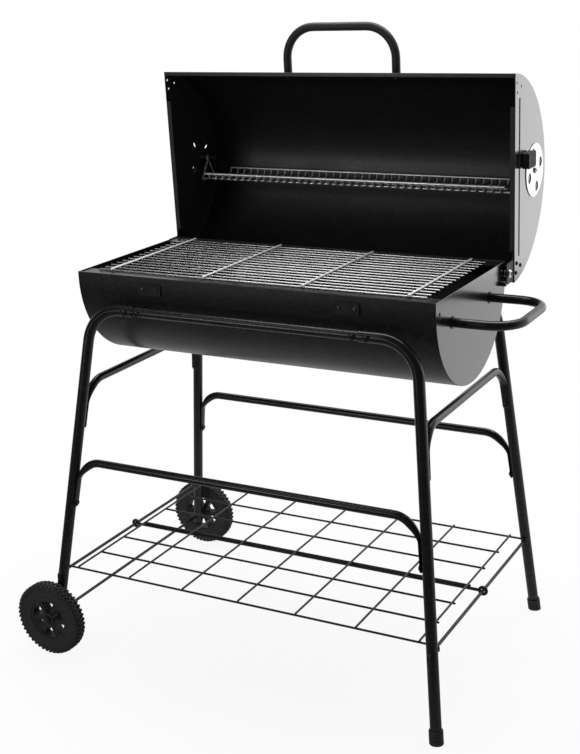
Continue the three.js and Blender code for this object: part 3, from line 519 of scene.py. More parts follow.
def metalFinish(name, colour, darkColour, **changes):  # chrome, zinc or steel
    look = {**metalLook, **changes}
    material, tree, shader, places = startMaterial(name)
    place = places.outputs["Object"]
    lines = useGroup(tree, drawnLines, Place=place, Scale=look["lineScale"],
                     Depth=look["lineDepth"])
    shine = useGroup(tree, handling, Place=place, Scale=look["patchScale"],
                     Middle=look["roughness"], Change=look["roughChange"])
    patches = spread(tree, lines.outputs["Lines"], *effectStyle["lineShades"])
    for label, value in (("Base Color", mixColours(tree, patches, colour, darkColour)),
                         ("Roughness", shine.outputs["Roughness"]),
                         ("Normal", lines.outputs["Normal"]), ("Metallic", look["metallic"])):
        feed(tree, shader.inputs[label], value)
    return material


satinPaint = coatedFinish("satinPaint")
sheetPaint = coatedFinish("sheetPaint", roughness=0.34, grainScale=520.0, dust=0.02, wear=0.25)
endPaint = coatedFinish("endPaint", roughness=0.2, roughChange=0.05, grainScale=600.0,
                        grainDepth=0.1, specular=0.8, coat=0.4, coatRoughness=0.18)
mattePaint = coatedFinish("mattePaint", roughness=0.55, dust=0.04, wear=0.4, specular=0.35)
handlePaint = coatedFinish("handlePaint", colour=(0.021, 0.022, 0.022), roughness=0.5,
                           grainDepth=0.2)
# painted light: a lighter, slightly bluish copy of the black paint for the lid's inside faces,
# standing in for the light and sheen inside the lid
hollowPaint = coatedFinish("hollowPaint", colour=(0.0225, 0.0225, 0.0235), roughness=0.5,
                           specular=0.3)
wirePaint = coatedFinish("wirePaint", roughness=0.4, grainScale=900.0, wear=0.5)
tyrePlastic = coatedFinish("tyrePlastic", colour=(0.017, 0.017, 0.0155), roughness=0.58,
                           grainScale=1100.0, grainDepth=0.35, dust=0.14, wear=0.25)
gripPlastic = coatedFinish("gripPlastic", colour=(0.014, 0.014, 0.014), roughness=0.5,
                           grainScale=1300.0, grainDepth=0.3, wear=0.15)

chromeWire = metalFinish("chromeWire", (0.6, 0.61, 0.62), (0.42, 0.42, 0.42), roughness=0.22,
                         lineDepth=0.03, roughChange=0.06)
# painted highlight: a whiter, mostly diffuse copy of the grate's chrome, so the cross rods show
# bright although they are the same plated wire as the rods
crossWire = metalFinish("crossWire", (0.95, 0.95, 0.95), (0.88, 0.88, 0.88), metallic=0.2)
rackWire = metalFinish("rackWire", (0.93, 0.94, 0.95), (0.84, 0.84, 0.85), roughness=0.3,
                       metallic=0.8)
chromeDisc = metalFinish("chromeDisc", (0.64, 0.65, 0.66), (0.57, 0.57, 0.58), roughness=0.3,
                         lineDepth=0.05)
zincStrip = metalFinish("zincStrip", (0.42, 0.42, 0.41), (0.28, 0.28, 0.27), roughChange=0.25,
                        patchScale=60.0)
darkSteel = metalFinish("darkSteel", (0.16, 0.15, 0.14), (0.09, 0.085, 0.08), roughness=0.34)
brightSteel = metalFinish("brightSteel", (0.7, 0.69, 0.66), (0.5, 0.49, 0.47), roughness=0.24)
print("finishes ready")


# Places shared by many pieces, all from the frame

def middleOf(node):
    low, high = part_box(node)
    return (low + high) / 2


def faceOf(box, axis, way):  # where a box ends, on its low or its high side
    return getattr(box[1 if way > 0 else 0], axis)


joints = {joint["name"]: joint for joint in frame["joints"]}
hingePlace = Vector(joints["lid_hinge"]["pos_m"])
openAngle = math.radians(joints["lid_hinge"]["range_deg"][1])
midX = hingePlace.x
bowlLow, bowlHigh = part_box("bowl_shell")
midY = (bowlLow.y + bowlHigh.y) / 2
bowlRadius = (bowlHigh.y - bowlLow.y) / 2
bowlAxis = bowlLow.z + bowlRadius
rimHeight = bowlHigh.z


def closedBox(node):  # the box of a lid part with the lid shut
    points = [point.co - hingePlace for point in frame["nodes"][node].data.vertices]
    turn = Euler((openAngle, 0, 0))
    for point in points:
        point.rotate(turn)
    low = Vector(min(point[i] for point in points) for i in range(3))
    high = Vector(max(point[i] for point in points) for i in range(3))
    return low + hingePlace, high + hingePlace


def swungOpen(piece):
    selectOnly(piece)
    bpy.ops.transform.rotate(value=openAngle, orient_axis="X", center_override=hingePlace)
    return settle(piece)


legRadius = 0.010
mounts = {mount["name"]: mount for mount in frame["record"]["mounts"]}
railHeight = middleOf("rail_front").z
railPlace = {-1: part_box("leg_front_left")[1].y - legRadius,
             1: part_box("leg_back_left")[0].y + legRadius}
print("places taken from the frame")


# Bowl

bowlStyle = {"sides": 144, "thickness": 0.0015, "beadWidth": 0.0045, "beadDrop": 0.002,
             "ledge": 0.0335, "lip": 0.003, "rimRound": 0.0007, "rimSteps": 3, "longEdge": 0.01}


def openBarrel(low, high, centreY, axisZ, radius, sides):  # the bent sheet of bowl or lid
    selectOnly()
    bpy.ops.mesh.primitive_cylinder_add(
        vertices=sides, radius=radius, depth=high.x - low.x, end_fill_type="NOTHING",
        location=((low.x + high.x) / 2, centreY, axisZ), rotation=(0, math.pi / 2, 0))
    barrel = settle(bpy.context.object)
    edit(barrel, everything=True)
    return barrel


def sheetPiece(sheet, thickness):
    leaveEdit()
    facesOutward(sheet)
    return modify(sheet, "SOLIDIFY", thickness=thickness, offset=-1)


def makeBowlShell():
    shell = openBarrel(bowlLow, bowlHigh, midY, bowlAxis, bowlRadius, bowlStyle["sides"])
    cutLevel(bowlAxis, keepAbove=False)
    beadY = bowlRadius - bowlStyle["beadWidth"]
    shelfZ = rimHeight - bowlStyle["beadDrop"]
    for end in (-1, 1):
        pick("EDGE", lambda a, b: min(a.z, b.z) > bowlAxis - touch and (a.y - midY) * end > 0)
        push((0, 0, rimHeight - bowlAxis))
        push((0, -end * bowlStyle["beadWidth"], 0))
        push((0, 0, -bowlStyle["beadDrop"]))
        push((0, -end * bowlStyle["ledge"], 0))
        push((0, 0, -bowlStyle["lip"]))

    def corner(a, b):
        if abs(a.y - b.y) > touch or abs(a.x - b.x) < bowlStyle["longEdge"]:
            return False
        out = abs(a.y - midY)
        onShelf = abs(a.z - shelfZ) < touch and (abs(out - beadY) < touch
                                                 or out < beadY - bowlStyle["ledge"] + touch)
        return abs(a.z - rimHeight) < touch or onShelf

    bevelPicked(bowlStyle["rimRound"], bowlStyle["rimSteps"], corner)
    sheetPiece(shell, bowlStyle["thickness"])
    finishPiece(shell, "bowl_shell", sheetPaint, smooth=30)


endStyle = {"sides": 144, "thickness": 0.0015, "edge": 0.0006, "edgeSteps": 3,
            "holeRadius": 0.0033, "spareHole": 0.152, "drill": 0.02}


def roundPlate(centreY, centreZ, radius, cutZ, keepAbove, x):
    selectOnly()
    bpy.ops.mesh.primitive_circle_add(
        vertices=endStyle["sides"], radius=radius, fill_type="NGON",
        location=(x, centreY, centreZ), rotation=(0, math.pi / 2, 0))
    blank = settle(bpy.context.object)
    edit(blank, everything=True)
    cutLevel(cutZ, keepAbove)
    return blank


def thicken(blank, step):
    bpy.ops.mesh.select_all(action="SELECT")
    push((step, 0, 0))
    leaveEdit()
    return facesOutward(blank)


def throughHole(y, z, x, radius, sides=24):
    return roundBar((x - endStyle["drill"], y, z), (x + endStyle["drill"], y, z), radius, sides)


def makeBowlEnds():
    for name, side in sides.items():
        node = "bowl_end_" + name
        outer = faceOf(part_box(node), "x", side)
        blank = roundPlate(midY, bowlAxis, bowlRadius, bowlAxis, False, outer)
        pick("EDGE", lambda a, b: min(a.z, b.z) > bowlAxis - touch)
        push((0, 0, rimHeight - bowlAxis))
        thicken(blank, -side * endStyle["thickness"])
        carve(blank, [throughHole(midY - endStyle["spareHole"], hingePlace.z, outer,
                                  endStyle["holeRadius"])])
        roundEdges(blank, endStyle["edge"], endStyle["edgeSteps"])
        finishPiece(blank, node, endPaint)


plateStyle = {"corner": 0.003, "cornerSteps": 4, "thickness": 0.002, "edge": 0.0004,
              "screwAt": 0.0145, "headRadius": 0.0036, "headHeight": 0.0018, "slot": 0.0036,
              "shank": 0.002, "nutIn": 0.0014, "nutRadius": 0.0034, "nutHeight": 0.003,
              "headRise": 0.0001}


def makeHangerPlates():
    for endName, end in ends.items():
        for name in sides:
            node = f"hanger_plate_{endName}_{name}"
            low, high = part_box(node)
            face = faceOf((low, high), "y", end) - end * plateStyle["headHeight"]
            back = face - end * plateStyle["thickness"]
            x, z = (low.x + high.x) / 2, (low.z + high.z) / 2
            strip = boxBetween((low.x, min(face, back), low.z), (high.x, max(face, back), high.z))
            edit(strip)
            bevelPicked(plateStyle["corner"], plateStyle["cornerSteps"],
                        lambda a, b: abs(a.y - b.y) > plateStyle["thickness"] / 2)
            leaveEdit()
            roundEdges(strip, plateStyle["edge"])
            parts = [strip]
            for offset in (-plateStyle["screwAt"], plateStyle["screwAt"]):
                base = Vector((x + offset, face, z))
                inner = Vector((x + offset, faceOf((low, high), "y", -end), z))
                nutPlace = inner + Vector((0, end * plateStyle["nutIn"], 0))
                parts += [domedHead(base, (0, end, 0), plateStyle["headRadius"],
                                    plateStyle["headHeight"], plateStyle["slot"]),
                          roundBar(base, inner, plateStyle["shank"], 16),
                          hexNut(nutPlace, (0, end, 0), plateStyle["nutRadius"],
                                 plateStyle["nutHeight"])]
            hangerPlate = finishPiece(joined(*parts), node, mattePaint)
            repaint(hangerPlate, darkSteel,
                    lambda part: (part.center.y - face) * end > plateStyle["headRise"])


strapStyle = {"thickness": 0.002, "width": 0.022, "headWidth": 0.042, "neckDrop": 0.021,
              "bend": 0.0025, "gap": 0.0006, "edge": 0.0004, "headSteps": 5, "bodySteps": 8,
              "bendSteps": 4}


def makeCharcoalHangers():
    outer = bowlRadius - bowlStyle["thickness"] - strapStyle["gap"]
    inner = outer - strapStyle["thickness"]
    bend = inner - strapStyle["bend"]
    half = strapStyle["headWidth"] / 2
    for endName, end in ends.items():
        axis = (end, 0, 0)
        for name in sides:
            node = f"charcoal_hanger_{endName}_{name}"
            low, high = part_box(node)
            x = (low.x + high.x) / 2
            seatDrop = bowlAxis - low.z - strapStyle["thickness"] - strapStyle["bend"]
            angles = [math.asin((bowlAxis - high.z) / outer),
                      math.asin((bowlAxis - high.z + strapStyle["neckDrop"]) / outer),
                      math.asin(seatDrop / bend)]
            selectOnly()
            bpy.ops.mesh.primitive_plane_add(size=1)
            strap = bpy.context.object
            spots = [(x - half, inner), (x + half, inner), (x - half, outer), (x + half, outer)]
            for point, (px, radius) in zip(strap.data.vertices, spots):
                point.co = (px, midY + end * radius * math.cos(angles[0]),
                            bowlAxis - radius * math.sin(angles[0]))
            edit(strap, everything=True)
            centre = Vector((x, midY, bowlAxis))
            bpy.ops.mesh.spin(steps=strapStyle["headSteps"], angle=angles[1] - angles[0],
                              center=centre, axis=axis)
            bpy.ops.transform.resize(value=(strapStyle["width"] / strapStyle["headWidth"], 1, 1),
                                     center_override=centre)
            bpy.ops.mesh.spin(steps=strapStyle["bodySteps"], angle=angles[2] - angles[1],
                              center=centre, axis=axis)
            corner = Vector((x, midY + end * bend * math.cos(angles[2]), bowlAxis - seatDrop))
            bpy.ops.mesh.spin(steps=strapStyle["bendSteps"], angle=math.pi / 2 - angles[2],
                              center=corner, axis=axis)
            push((0, faceOf((low, high), "y", -end) - corner.y, 0))
            leaveEdit()
            roundEdges(facesOutward(strap), strapStyle["edge"])
            finishPiece(strap, node, zincStrip)


makeBowlShell()
makeBowlEnds()
makeHangerPlates()
makeCharcoalHangers()
print("bowl made")


# Grates

grateStyle = {"rod": 0.0016, "cross": 0.002, "count": 16, "pitch": 0.0184, "sides": 16,
              "crossAt": (-0.292, -0.097, 0.098, 0.293), "crossOnTop": True, "nugget": 0.002,
              "tip": 0.0005}
coalStyle = {"rod": 0.0025, "cross": 0.0025, "count": 11, "pitch": 0.024, "sides": 14,
             "crossAt": (-0.291, -0.194, 0.0, 0.194, 0.291), "crossOnTop": False,
             "nugget": 0.0032, "tip": 0.0005}
weldStyle = {"around": 10, "rings": 6, "shape": (1.1, 1.25, 0.7)}


def weldRow(x, startY, z, style):  # a small nugget of weld where each rod crosses
    selectOnly()
    bpy.ops.mesh.primitive_uv_sphere_add(segments=weldStyle["around"],
                                         ring_count=weldStyle["rings"],
                                         radius=style["nugget"], location=(x, startY, z))
    nugget = settle(bpy.context.object)
    edit(nugget, everything=True)
    bpy.ops.transform.resize(value=weldStyle["shape"], center_override=(x, startY, z))
    leaveEdit()
    return repeated(nugget, style["count"], (0, style["pitch"], 0))


def makeGrate(node, style, material):
    low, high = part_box(node)
    crossZ, rodZ = low.z + style["cross"], high.z - style["rod"]
    joint = rodZ - style["rod"]
    if style["crossOnTop"]:
        crossZ, rodZ = high.z - style["cross"], low.z + style["rod"]
        joint = rodZ + style["rod"]
    startY = midY - style["pitch"] * (style["count"] - 1) / 2
    rods = bentTube([(low.x, startY, rodZ), (high.x, startY, rodZ)], style["rod"],
                    sides=style["sides"], tip=style["tip"])
    repeated(rods, style["count"], (0, style["pitch"], 0))
    crosses = [bentTube([(midX + x, low.y, crossZ), (midX + x, high.y, crossZ)],
                        style["cross"], sides=style["sides"], tip=style["tip"])
               for x in style["crossAt"]]
    nuggets = [weldRow(midX + x, startY, joint, style) for x in style["crossAt"]]
    grate = finishPiece(joined(rods, *crosses, *nuggets), node, material)
    if style["crossOnTop"]:
        # the cross rods and the tops of their welds get the painted-highlight copy of the chrome
        repaint(grate, crossWire, lambda part: part.center.z > joint)


makeGrate("cooking_grate", grateStyle, chromeWire)
makeGrate("charcoal_grate", coalStyle, wirePaint)
print("grates made")


# Side handle

handleStyle = {"radius": 0.008, "bend": 0.05, "lidBend": 0.058, "sides": 32, "steps": 12,
               "gap": 0.0003, "washerOut": 0.0028, "washerIn": 0.0005, "washerHeight": 0.0012,
               "stud": 0.003, "studIn": 0.004, "studTail": 0.0015, "nutRadius": 0.005,
               "nutHeight": 0.0047}


def makeSideHandle():
    low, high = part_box("side_handle")
    style, radius, right = handleStyle, handleStyle["radius"], (1, 0, 0)
    z = (low.z + high.z) / 2
    front, back = low.y + radius, high.y - radius
    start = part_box("bowl_end_right")[1].x + style["gap"]
    reach = high.x - radius
    parts = [bentTube([(start, front, z), (reach, front, z), (reach, back, z), (start, back, z)],
                      radius, style["bend"], style["sides"], style["steps"])]
    for y in (front, back):
        tail = Vector((low.x, y, z))
        parts += [washer((start, y, z), right, radius + style["washerOut"],
                         radius - style["washerIn"], style["washerHeight"]),
                  roundBar(tail, (start + style["studIn"], y, z), style["stud"], 16),
                  hexNut(tail + Vector((style["studTail"], 0, 0)), right, style["nutRadius"],
                         style["nutHeight"])]
    finishPiece(joined(*parts), "side_handle", satinPaint)


makeSideHandle()


# Lid, modelled shut and then swung open

lidStyle = {"sides": 160, "thickness": 0.0015, "lip": 0.008, "hem": 0.003, "round": 0.0011,
            "roundSteps": 3, "longEdge": 0.01, "bead": 0.0254, "beadHalf": 0.142,
            "beadWidth": 0.0052, "beadRise": 0.0012, "beadSink": 0.001, "beadEnds": 0.9,
            "beadSteps": 4, "beadRound": 0.0009, "flange": 0.129, "edge": 0.0004, "pinHole": 0.0028,
            "cornerHole": 0.0025, "bareFrom": 0.4,
            "corners": ((0.1525, 0.011), (0.1695, 0.008), (0.161, 0.032))}
lidLow, lidHigh = closedBox("lid_shell")
lidEdge = lidLow.z
lidY = (lidLow.y + lidHigh.y) / 2
lidAxis = bowlAxis
lidRadius = lidHigh.z - lidAxis
ventStyle = {"radius": 0.049, "thickness": 0.0012, "ring": 0.033, "hole": 0.0095,
             "holeSides": 40, "quarters": (45, 135, 225, 315), "tabWidth": 0.022,
             "tabFrom": 0.044, "tabPast": 0.010, "tabCut": 0.004, "pinHole": 0.0026,
             "sides": 96, "edge": 0.0003}
ventPin = closedBox("vent_pin_right")
ventZ = (ventPin[0].z + ventPin[1].z) / 2


def makeLidShell():
    shell = openBarrel(lidLow, lidHigh, lidY, lidAxis, lidRadius, lidStyle["sides"])
    cutLevel(lidEdge)

    def onEdge(a, b):
        return max(a.z, b.z) < lidEdge + touch

    for end in (-1, 1):
        pick("EDGE", lambda a, b: onEdge(a, b) and (a.y - lidY) * end > 0)
        push((0, -end * lidStyle["lip"], 0))
        push((0, 0, lidStyle["hem"]))
    bevelPicked(lidStyle["round"], lidStyle["roundSteps"],
                lambda a, b: (abs(a.x - b.x) > lidStyle["longEdge"] and abs(a.y - b.y) < touch
                              and onEdge(a, b)))
    sheetPiece(shell, lidStyle["thickness"])
    finishPiece(swungOpen(shell), "lid_shell", sheetPaint, smooth=30)


def ventHoles(centreY, turn, x):
    angles = [turn + math.radians(quarter) for quarter in ventStyle["quarters"]]
    return [throughHole(centreY + ventStyle["ring"] * math.cos(angle),
                        ventZ + ventStyle["ring"] * math.sin(angle), x, ventStyle["hole"],
                        ventStyle["holeSides"]) for angle in angles]


def makeBead(outer, side):  # the pressed line along the lid's edge
    half, sink = lidStyle["beadWidth"] / 2, lidStyle["beadSink"]
    beadZ = lidEdge + lidStyle["bead"]
    bead = boxBetween((outer - sink, lidY - lidStyle["beadHalf"], beadZ - half),
                      (outer + sink, lidY + lidStyle["beadHalf"], beadZ + half))
    bead.location.x = side * (lidStyle["beadRise"] - sink)
    edit(settle(bead))
    bevelPicked(half * lidStyle["beadEnds"], lidStyle["beadSteps"],
                lambda a, b: abs(a.x - b.x) > 1.5 * sink)
    leaveEdit()
    return roundEdges(bead, lidStyle["beadRound"], 3)


def makeLidEnds():
    for name, side in sides.items():
        node = "lid_end_" + name
        outer = faceOf(closedBox(node), "x", side) - side * lidStyle["beadRise"]
        blank = roundPlate(lidY, lidAxis, lidRadius, lidEdge, True, outer)
        thicken(blank, -side * lidStyle["thickness"])
        holes = [throughHole(lidY, ventZ, outer, lidStyle["pinHole"]),
                 *ventHoles(lidY, 0.0, outer)]
        for y, z in lidStyle["corners"]:
            holes += [throughHole(lidY + end * y, lidEdge + z, outer, lidStyle["cornerHole"])
                      for end in (-1, 1)]
        flangeX = outer - side * (lidStyle["thickness"] + lidStyle["lip"])
        flange = boxBetween((min(flangeX, outer), lidY - lidStyle["flange"], lidEdge),
                            (max(flangeX, outer), lidY + lidStyle["flange"],
                             lidEdge + lidStyle["thickness"]))
        carve(blank, [flange, makeBead(outer, side)], "UNION")
        carve(blank, [joined(*holes)])
        roundEdges(blank, lidStyle["edge"])
        lidEnd = finishPiece(swungOpen(blank), node, endPaint)
        # the lid end's faces that do not face outward get painted light: a lighter, slightly bluish
        # copy of the black paint standing in for the light inside the lid
        repaint(lidEnd, hollowPaint, lambda face: face.normal.x * side <= lidStyle["bareFrom"])


lidHandleStyle = {"gap": 0.0004, "washerOut": 0.003, "washerIn": 0.001,
                  "washerHeight": 0.0013, "inside": 0.0003, "innerWasher": 0.0075,
                  "innerHeight": 0.0012, "stud": 0.003, "studTail": 0.0075,
                  "nutRadius": 0.005, "nutHeight": 0.0045, "into": 0.01}


def makeLidHandle():
    low, high = closedBox("lid_handle")
    style, radius = lidHandleStyle, handleStyle["radius"]
    z = (low.z + high.z) / 2
    left, right = low.x + radius, high.x - radius
    reach = low.y + radius
    skin = lidY - math.sqrt(lidRadius ** 2 - (z - lidAxis) ** 2)
    start = skin + style["into"]
    tube = bentTube([(left, start, z), (left, reach, z), (right, reach, z), (right, start, z)],
                    radius, handleStyle["lidBend"], handleStyle["sides"], handleStyle["steps"])
    out = Vector((0, skin - lidY, z - lidAxis)).normalized()
    edit(tube, everything=True)
    bpy.ops.mesh.bisect(plane_co=Vector((0, skin, z)) + out * style["gap"], plane_no=out,
                        clear_inner=True, use_fill=True)
    leaveEdit()
    parts = [tube]
    for x in (left, right):
        base = Vector((x, skin, z)) + out * style["gap"]
        inside = Vector((x, skin, z)) - out * (lidStyle["thickness"] + style["inside"])
        parts += [washer(base, out, radius + style["washerOut"], radius - style["washerIn"],
                         style["washerHeight"]),
                  washer(inside, -out, style["innerWasher"], style["stud"],
                         style["innerHeight"]),
                  hexNut(inside - out * style["innerHeight"], -out, style["nutRadius"],
                         style["nutHeight"]),
                  roundBar(inside - out * style["studTail"], base, style["stud"], 16)]
    finishPiece(swungOpen(joined(*parts)), "lid_handle", handlePaint)


bracketStyle = {"thickness": 0.003, "neck": 0.012, "hole": 0.0042, "edge": 0.0006,
                "endGap": 0.0006, "screwRadius": 0.0038, "screwHeight": 0.002,
                "screwSlot": 0.0038, "screwGap": 0.0001, "plateGap": 0.0012, "shank": 0.0022,
                "shankIn": 0.002}
boltStyle = {"radius": 0.008, "height": 0.004, "slot": 0.0085, "shank": 0.003,
             "shoulder": 0.00395, "gap": 0.0003, "overlap": 0.001, "collar": 0.0062,
             "collarGap": 0.0006, "tail": 0.0018, "nutRadius": 0.005, "nutHeight": 0.0045}
stopStyle = {"radius": 0.004, "tip": 0.0008, "stud": 0.003, "studIn": 0.002, "tail": 0.001,
             "nutRadius": 0.005, "nutHeight": 0.0042}


def bracketOutline(low, high):
    back = (lidY + math.sqrt(lidRadius ** 2 - (lidEdge - lidAxis) ** 2) - lidStyle["lip"]
            - bracketStyle["endGap"])
    neck = low.y + bracketStyle["neck"]
    return [(neck, low.z + 0.004), (neck + 0.004, low.z), (high.y - 0.006, low.z),
            (high.y - 0.002, low.z + 0.002), (high.y, low.z + 0.006),
            (high.y, lidEdge - 0.005), (high.y - 0.001, lidEdge - 0.003),
            (back, lidEdge - 0.001), (back, high.z - 0.016), (back - 0.008, high.z),
            (low.y + 0.017, high.z), (low.y, lidEdge + 0.006), (low.y, lidEdge + 0.001),
            (neck, lidEdge - 0.004)]


def makeBracket(node, side, lidFace):
    outer = lidFace - side * bracketStyle["thickness"]
    strip = plate(bracketOutline(*closedBox(node)), outer, -side * bracketStyle["thickness"])
    carve(strip, [throughHole(hingePlace.y, hingePlace.z, outer, bracketStyle["hole"])])
    parts = [roundEdges(strip, bracketStyle["edge"])]
    screwX = lidFace - side * bracketStyle["plateGap"] + side * bracketStyle["screwGap"]
    for y, z in lidStyle["corners"]:
        spot = Vector((screwX, lidY + y, lidEdge + z))
        parts += [domedHead(spot, (side, 0, 0), bracketStyle["screwRadius"],
                            bracketStyle["screwHeight"], bracketStyle["screwSlot"]),
                  roundBar(spot, (outer - side * bracketStyle["shankIn"], spot.y, spot.z),
                           bracketStyle["shank"], 12)]
    finishPiece(swungOpen(joined(*parts)), node, mattePaint)
    return outer - side * bracketStyle["thickness"]


def makeHingeBolt(node, side, skin, bracketBack):
    box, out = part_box(node), (side, 0, 0)
    tip, tail = faceOf(box, "x", side), faceOf(box, "x", -side)
    y, z = hingePlace.y, hingePlace.z
    spot = Vector((tip - side * boltStyle["height"], y, z))
    foot = Vector((skin + side * boltStyle["gap"], y, z))
    parts = [domedHead(spot, out, boltStyle["radius"], boltStyle["height"], boltStyle["slot"]),
             roundBar((tail, spot.y, spot.z), spot + Vector((side * boltStyle["overlap"], 0, 0)),
                      boltStyle["shank"], 20),
             roundBar(foot, spot, boltStyle["shoulder"]),
             washer(foot, out, boltStyle["collar"], boltStyle["shank"],
                    abs(bracketBack - skin) - boltStyle["collarGap"]),
             hexNut((tail + side * boltStyle["tail"], spot.y, spot.z), out,
                    boltStyle["nutRadius"], boltStyle["nutHeight"])]
    finishPiece(joined(*parts), node, brightSteel)


def makeLidStop(node, side, skin):
    low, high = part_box(node)
    middle = (low + high) / 2
    tip, tail = faceOf((low, high), "x", side), faceOf((low, high), "x", -side)

    def at(x):
        return x, middle.y, middle.z

    parts = [bentTube([at(skin + side * boltStyle["gap"]), at(tip)], stopStyle["radius"],
                      tip=stopStyle["tip"]),
             roundBar(at(tail), at(skin + side * stopStyle["studIn"]), stopStyle["stud"], 16),
             hexNut(at(tail + side * stopStyle["tail"]), (side, 0, 0), stopStyle["nutRadius"],
                    stopStyle["nutHeight"])]
    finishPiece(joined(*parts), node, mattePaint)


def makeHinges():
    for name, side in sides.items():
        lidFace = faceOf(closedBox("lid_end_" + name), "x", side)
        skin = faceOf(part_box("bowl_end_" + name), "x", side)
        bracketBack = makeBracket("hinge_bracket_" + name, side, lidFace)
        makeHingeBolt("hinge_bolt_" + name, side, skin, bracketBack)
        makeLidStop("lid_stop_" + name, side, skin)


makeLidShell()
makeLidEnds()
makeLidHandle()
makeHinges()
print("lid made")


# Vents

gripStyle = {"depth": 0.014, "corner": 0.003, "cornerSteps": 4, "longEdge": 0.005,
             "frame": 0.002, "dish": 0.94, "edge": 0.0012, "edgeSteps": 3, "grooves": 6,
             "grooveRadius": 0.0014, "groovePitch": 0.0055, "groovePast": 0.002,
             "stud": 0.003, "studGap": 0.0002, "studIn": 0.002}
pinStyle = {"radius": 0.0065, "height": 0.0035, "slot": 0.0062, "gap": 0.0003,
            "overlap": 0.001, "shank": 0.0025, "plateBack": 0.0027, "nutBack": 0.0046,
            "nutRadius": 0.0055, "nutHeight": 0.0043, "washerRadius": 0.0042,
            "washerHole": 0.002, "washerHeight": 0.0016}


def makeDisc(node, pinY, away, face, back):
    turn = math.atan2(away.z, away.y)
    along, across = away.normalized(), Vector((0, -away.z, away.y)).normalized()
    pin = Vector((0, pinY, ventZ))
    disc = roundBar((back, pinY, ventZ), (face, pinY, ventZ), ventStyle["radius"],
                    ventStyle["sides"])
    half, cut = ventStyle["tabWidth"] / 2, ventStyle["tabCut"]
    reach = away.length + ventStyle["tabPast"]
    corners = [pin + along * out + across * wide for out, wide in (
        (ventStyle["tabFrom"], -half), (reach - cut, -half), (reach, cut - half),
        (reach, half - cut), (reach - cut, half), (ventStyle["tabFrom"], half))]
    tab = plate([(corner.y, corner.z) for corner in corners], back, face - back)
    carve(disc, [tab], "UNION")
    carve(disc, [joined(throughHole(pinY, ventZ, face, ventStyle["pinHole"]),
                        *ventHoles(pinY, turn, face))])
    roundEdges(disc, ventStyle["edge"])
    finishPiece(swungOpen(disc), node, chromeDisc)


def makeGrip(node, side, back):
    low, high = closedBox(node)
    y, z = (low.y + high.y) / 2, (low.z + high.z) / 2
    tip = faceOf((low, high), "x", side)
    foot = tip - side * gripStyle["depth"]
    block = boxBetween((min(tip, foot), low.y, low.z), (max(tip, foot), high.y, high.z))
    edit(block)
    bevelPicked(gripStyle["corner"], gripStyle["cornerSteps"],
                lambda a, b: abs(a.x - b.x) > gripStyle["longEdge"])
    pick("FACE", lambda middle, normal: normal.x * side > flatOn)
    bpy.ops.mesh.inset(thickness=gripStyle["frame"])
    push((0, 0, 0))
    bpy.ops.transform.resize(value=(1, gripStyle["dish"], gripStyle["dish"]),
                             center_override=(tip, y, z))
    leaveEdit()
    roundEdges(facesOutward(block), gripStyle["edge"], gripStyle["edgeSteps"])
    first = z - gripStyle["groovePitch"] * (gripStyle["grooves"] - 1) / 2
    groove = roundBar((tip, low.y - gripStyle["groovePast"], first),
                      (tip, high.y + gripStyle["groovePast"], first),
                      gripStyle["grooveRadius"], 16)
    carve(block, [repeated(groove, gripStyle["grooves"], (0, 0, gripStyle["groovePitch"]))])
    stud = roundBar((back + side * gripStyle["studGap"], y, z),
                    (foot + side * gripStyle["studIn"], y, z), gripStyle["stud"], 16)
    finishPiece(swungOpen(joined(block, stud)), node, gripPlastic)


def makeVentPin(node, side, pinY, face, lidFace):
    out, tail = (side, 0, 0), faceOf(closedBox(node), "x", -side)
    head = Vector((face + side * pinStyle["gap"], pinY, ventZ))
    nutX = lidFace - side * pinStyle["plateBack"] - side * pinStyle["nutBack"]
    parts = [domedHead(head, out, pinStyle["radius"], pinStyle["height"], pinStyle["slot"]),
             roundBar((tail, pinY, ventZ), head + Vector((side * pinStyle["overlap"], 0, 0)),
                      pinStyle["shank"], 20),
             hexNut((nutX, pinY, ventZ), out, pinStyle["nutRadius"], pinStyle["nutHeight"]),
             washer((tail, pinY, ventZ), out, pinStyle["washerRadius"],
                    pinStyle["washerHole"], pinStyle["washerHeight"])]
    finishPiece(swungOpen(joined(*parts)), node, brightSteel)


def makeVents():
    for name, side in sides.items():
        face = faceOf(closedBox("vent_disc_" + name), "x", side)
        back = face - side * ventStyle["thickness"]
        pinLow, pinHigh = closedBox("vent_pin_" + name)
        pinY = (pinLow.y + pinHigh.y) / 2
        gripLow, gripHigh = closedBox("vent_grip_" + name)
        away = Vector((0, (gripLow.y + gripHigh.y) / 2 - pinY,
                       (gripLow.z + gripHigh.z) / 2 - ventZ))
        makeDisc("vent_disc_" + name, pinY, away, face, back)
        makeGrip("vent_grip_" + name, side, back)
        makeVentPin("vent_pin_" + name, side, pinY, face,
                    faceOf(closedBox("lid_end_" + name), "x", side))


# Warming rack

rackStyle = {"halfDepth": 0.046, "topDrop": 0.027, "bottomDrop": 0.041, "bottomHalf": 0.019,
             "frontRadius": 0.0025, "frontTip": 0.0006, "rodRadius": 0.00175, "rodTip": 0.0005,
             "rodSides": 12, "wireRadius": 0.0015, "wires": 40, "pitch": 0.016,
             "wireBend": 0.004, "wireLean": 0.003, "wireSink": 0.0003, "frontShort": 0.019,
             "backShort": 0.026, "endGap": 0.005, "hangerHalf": 0.027, "hangerDrop": 0.04455,
             "eye": 0.0045, "eyeOff": 0.0006}


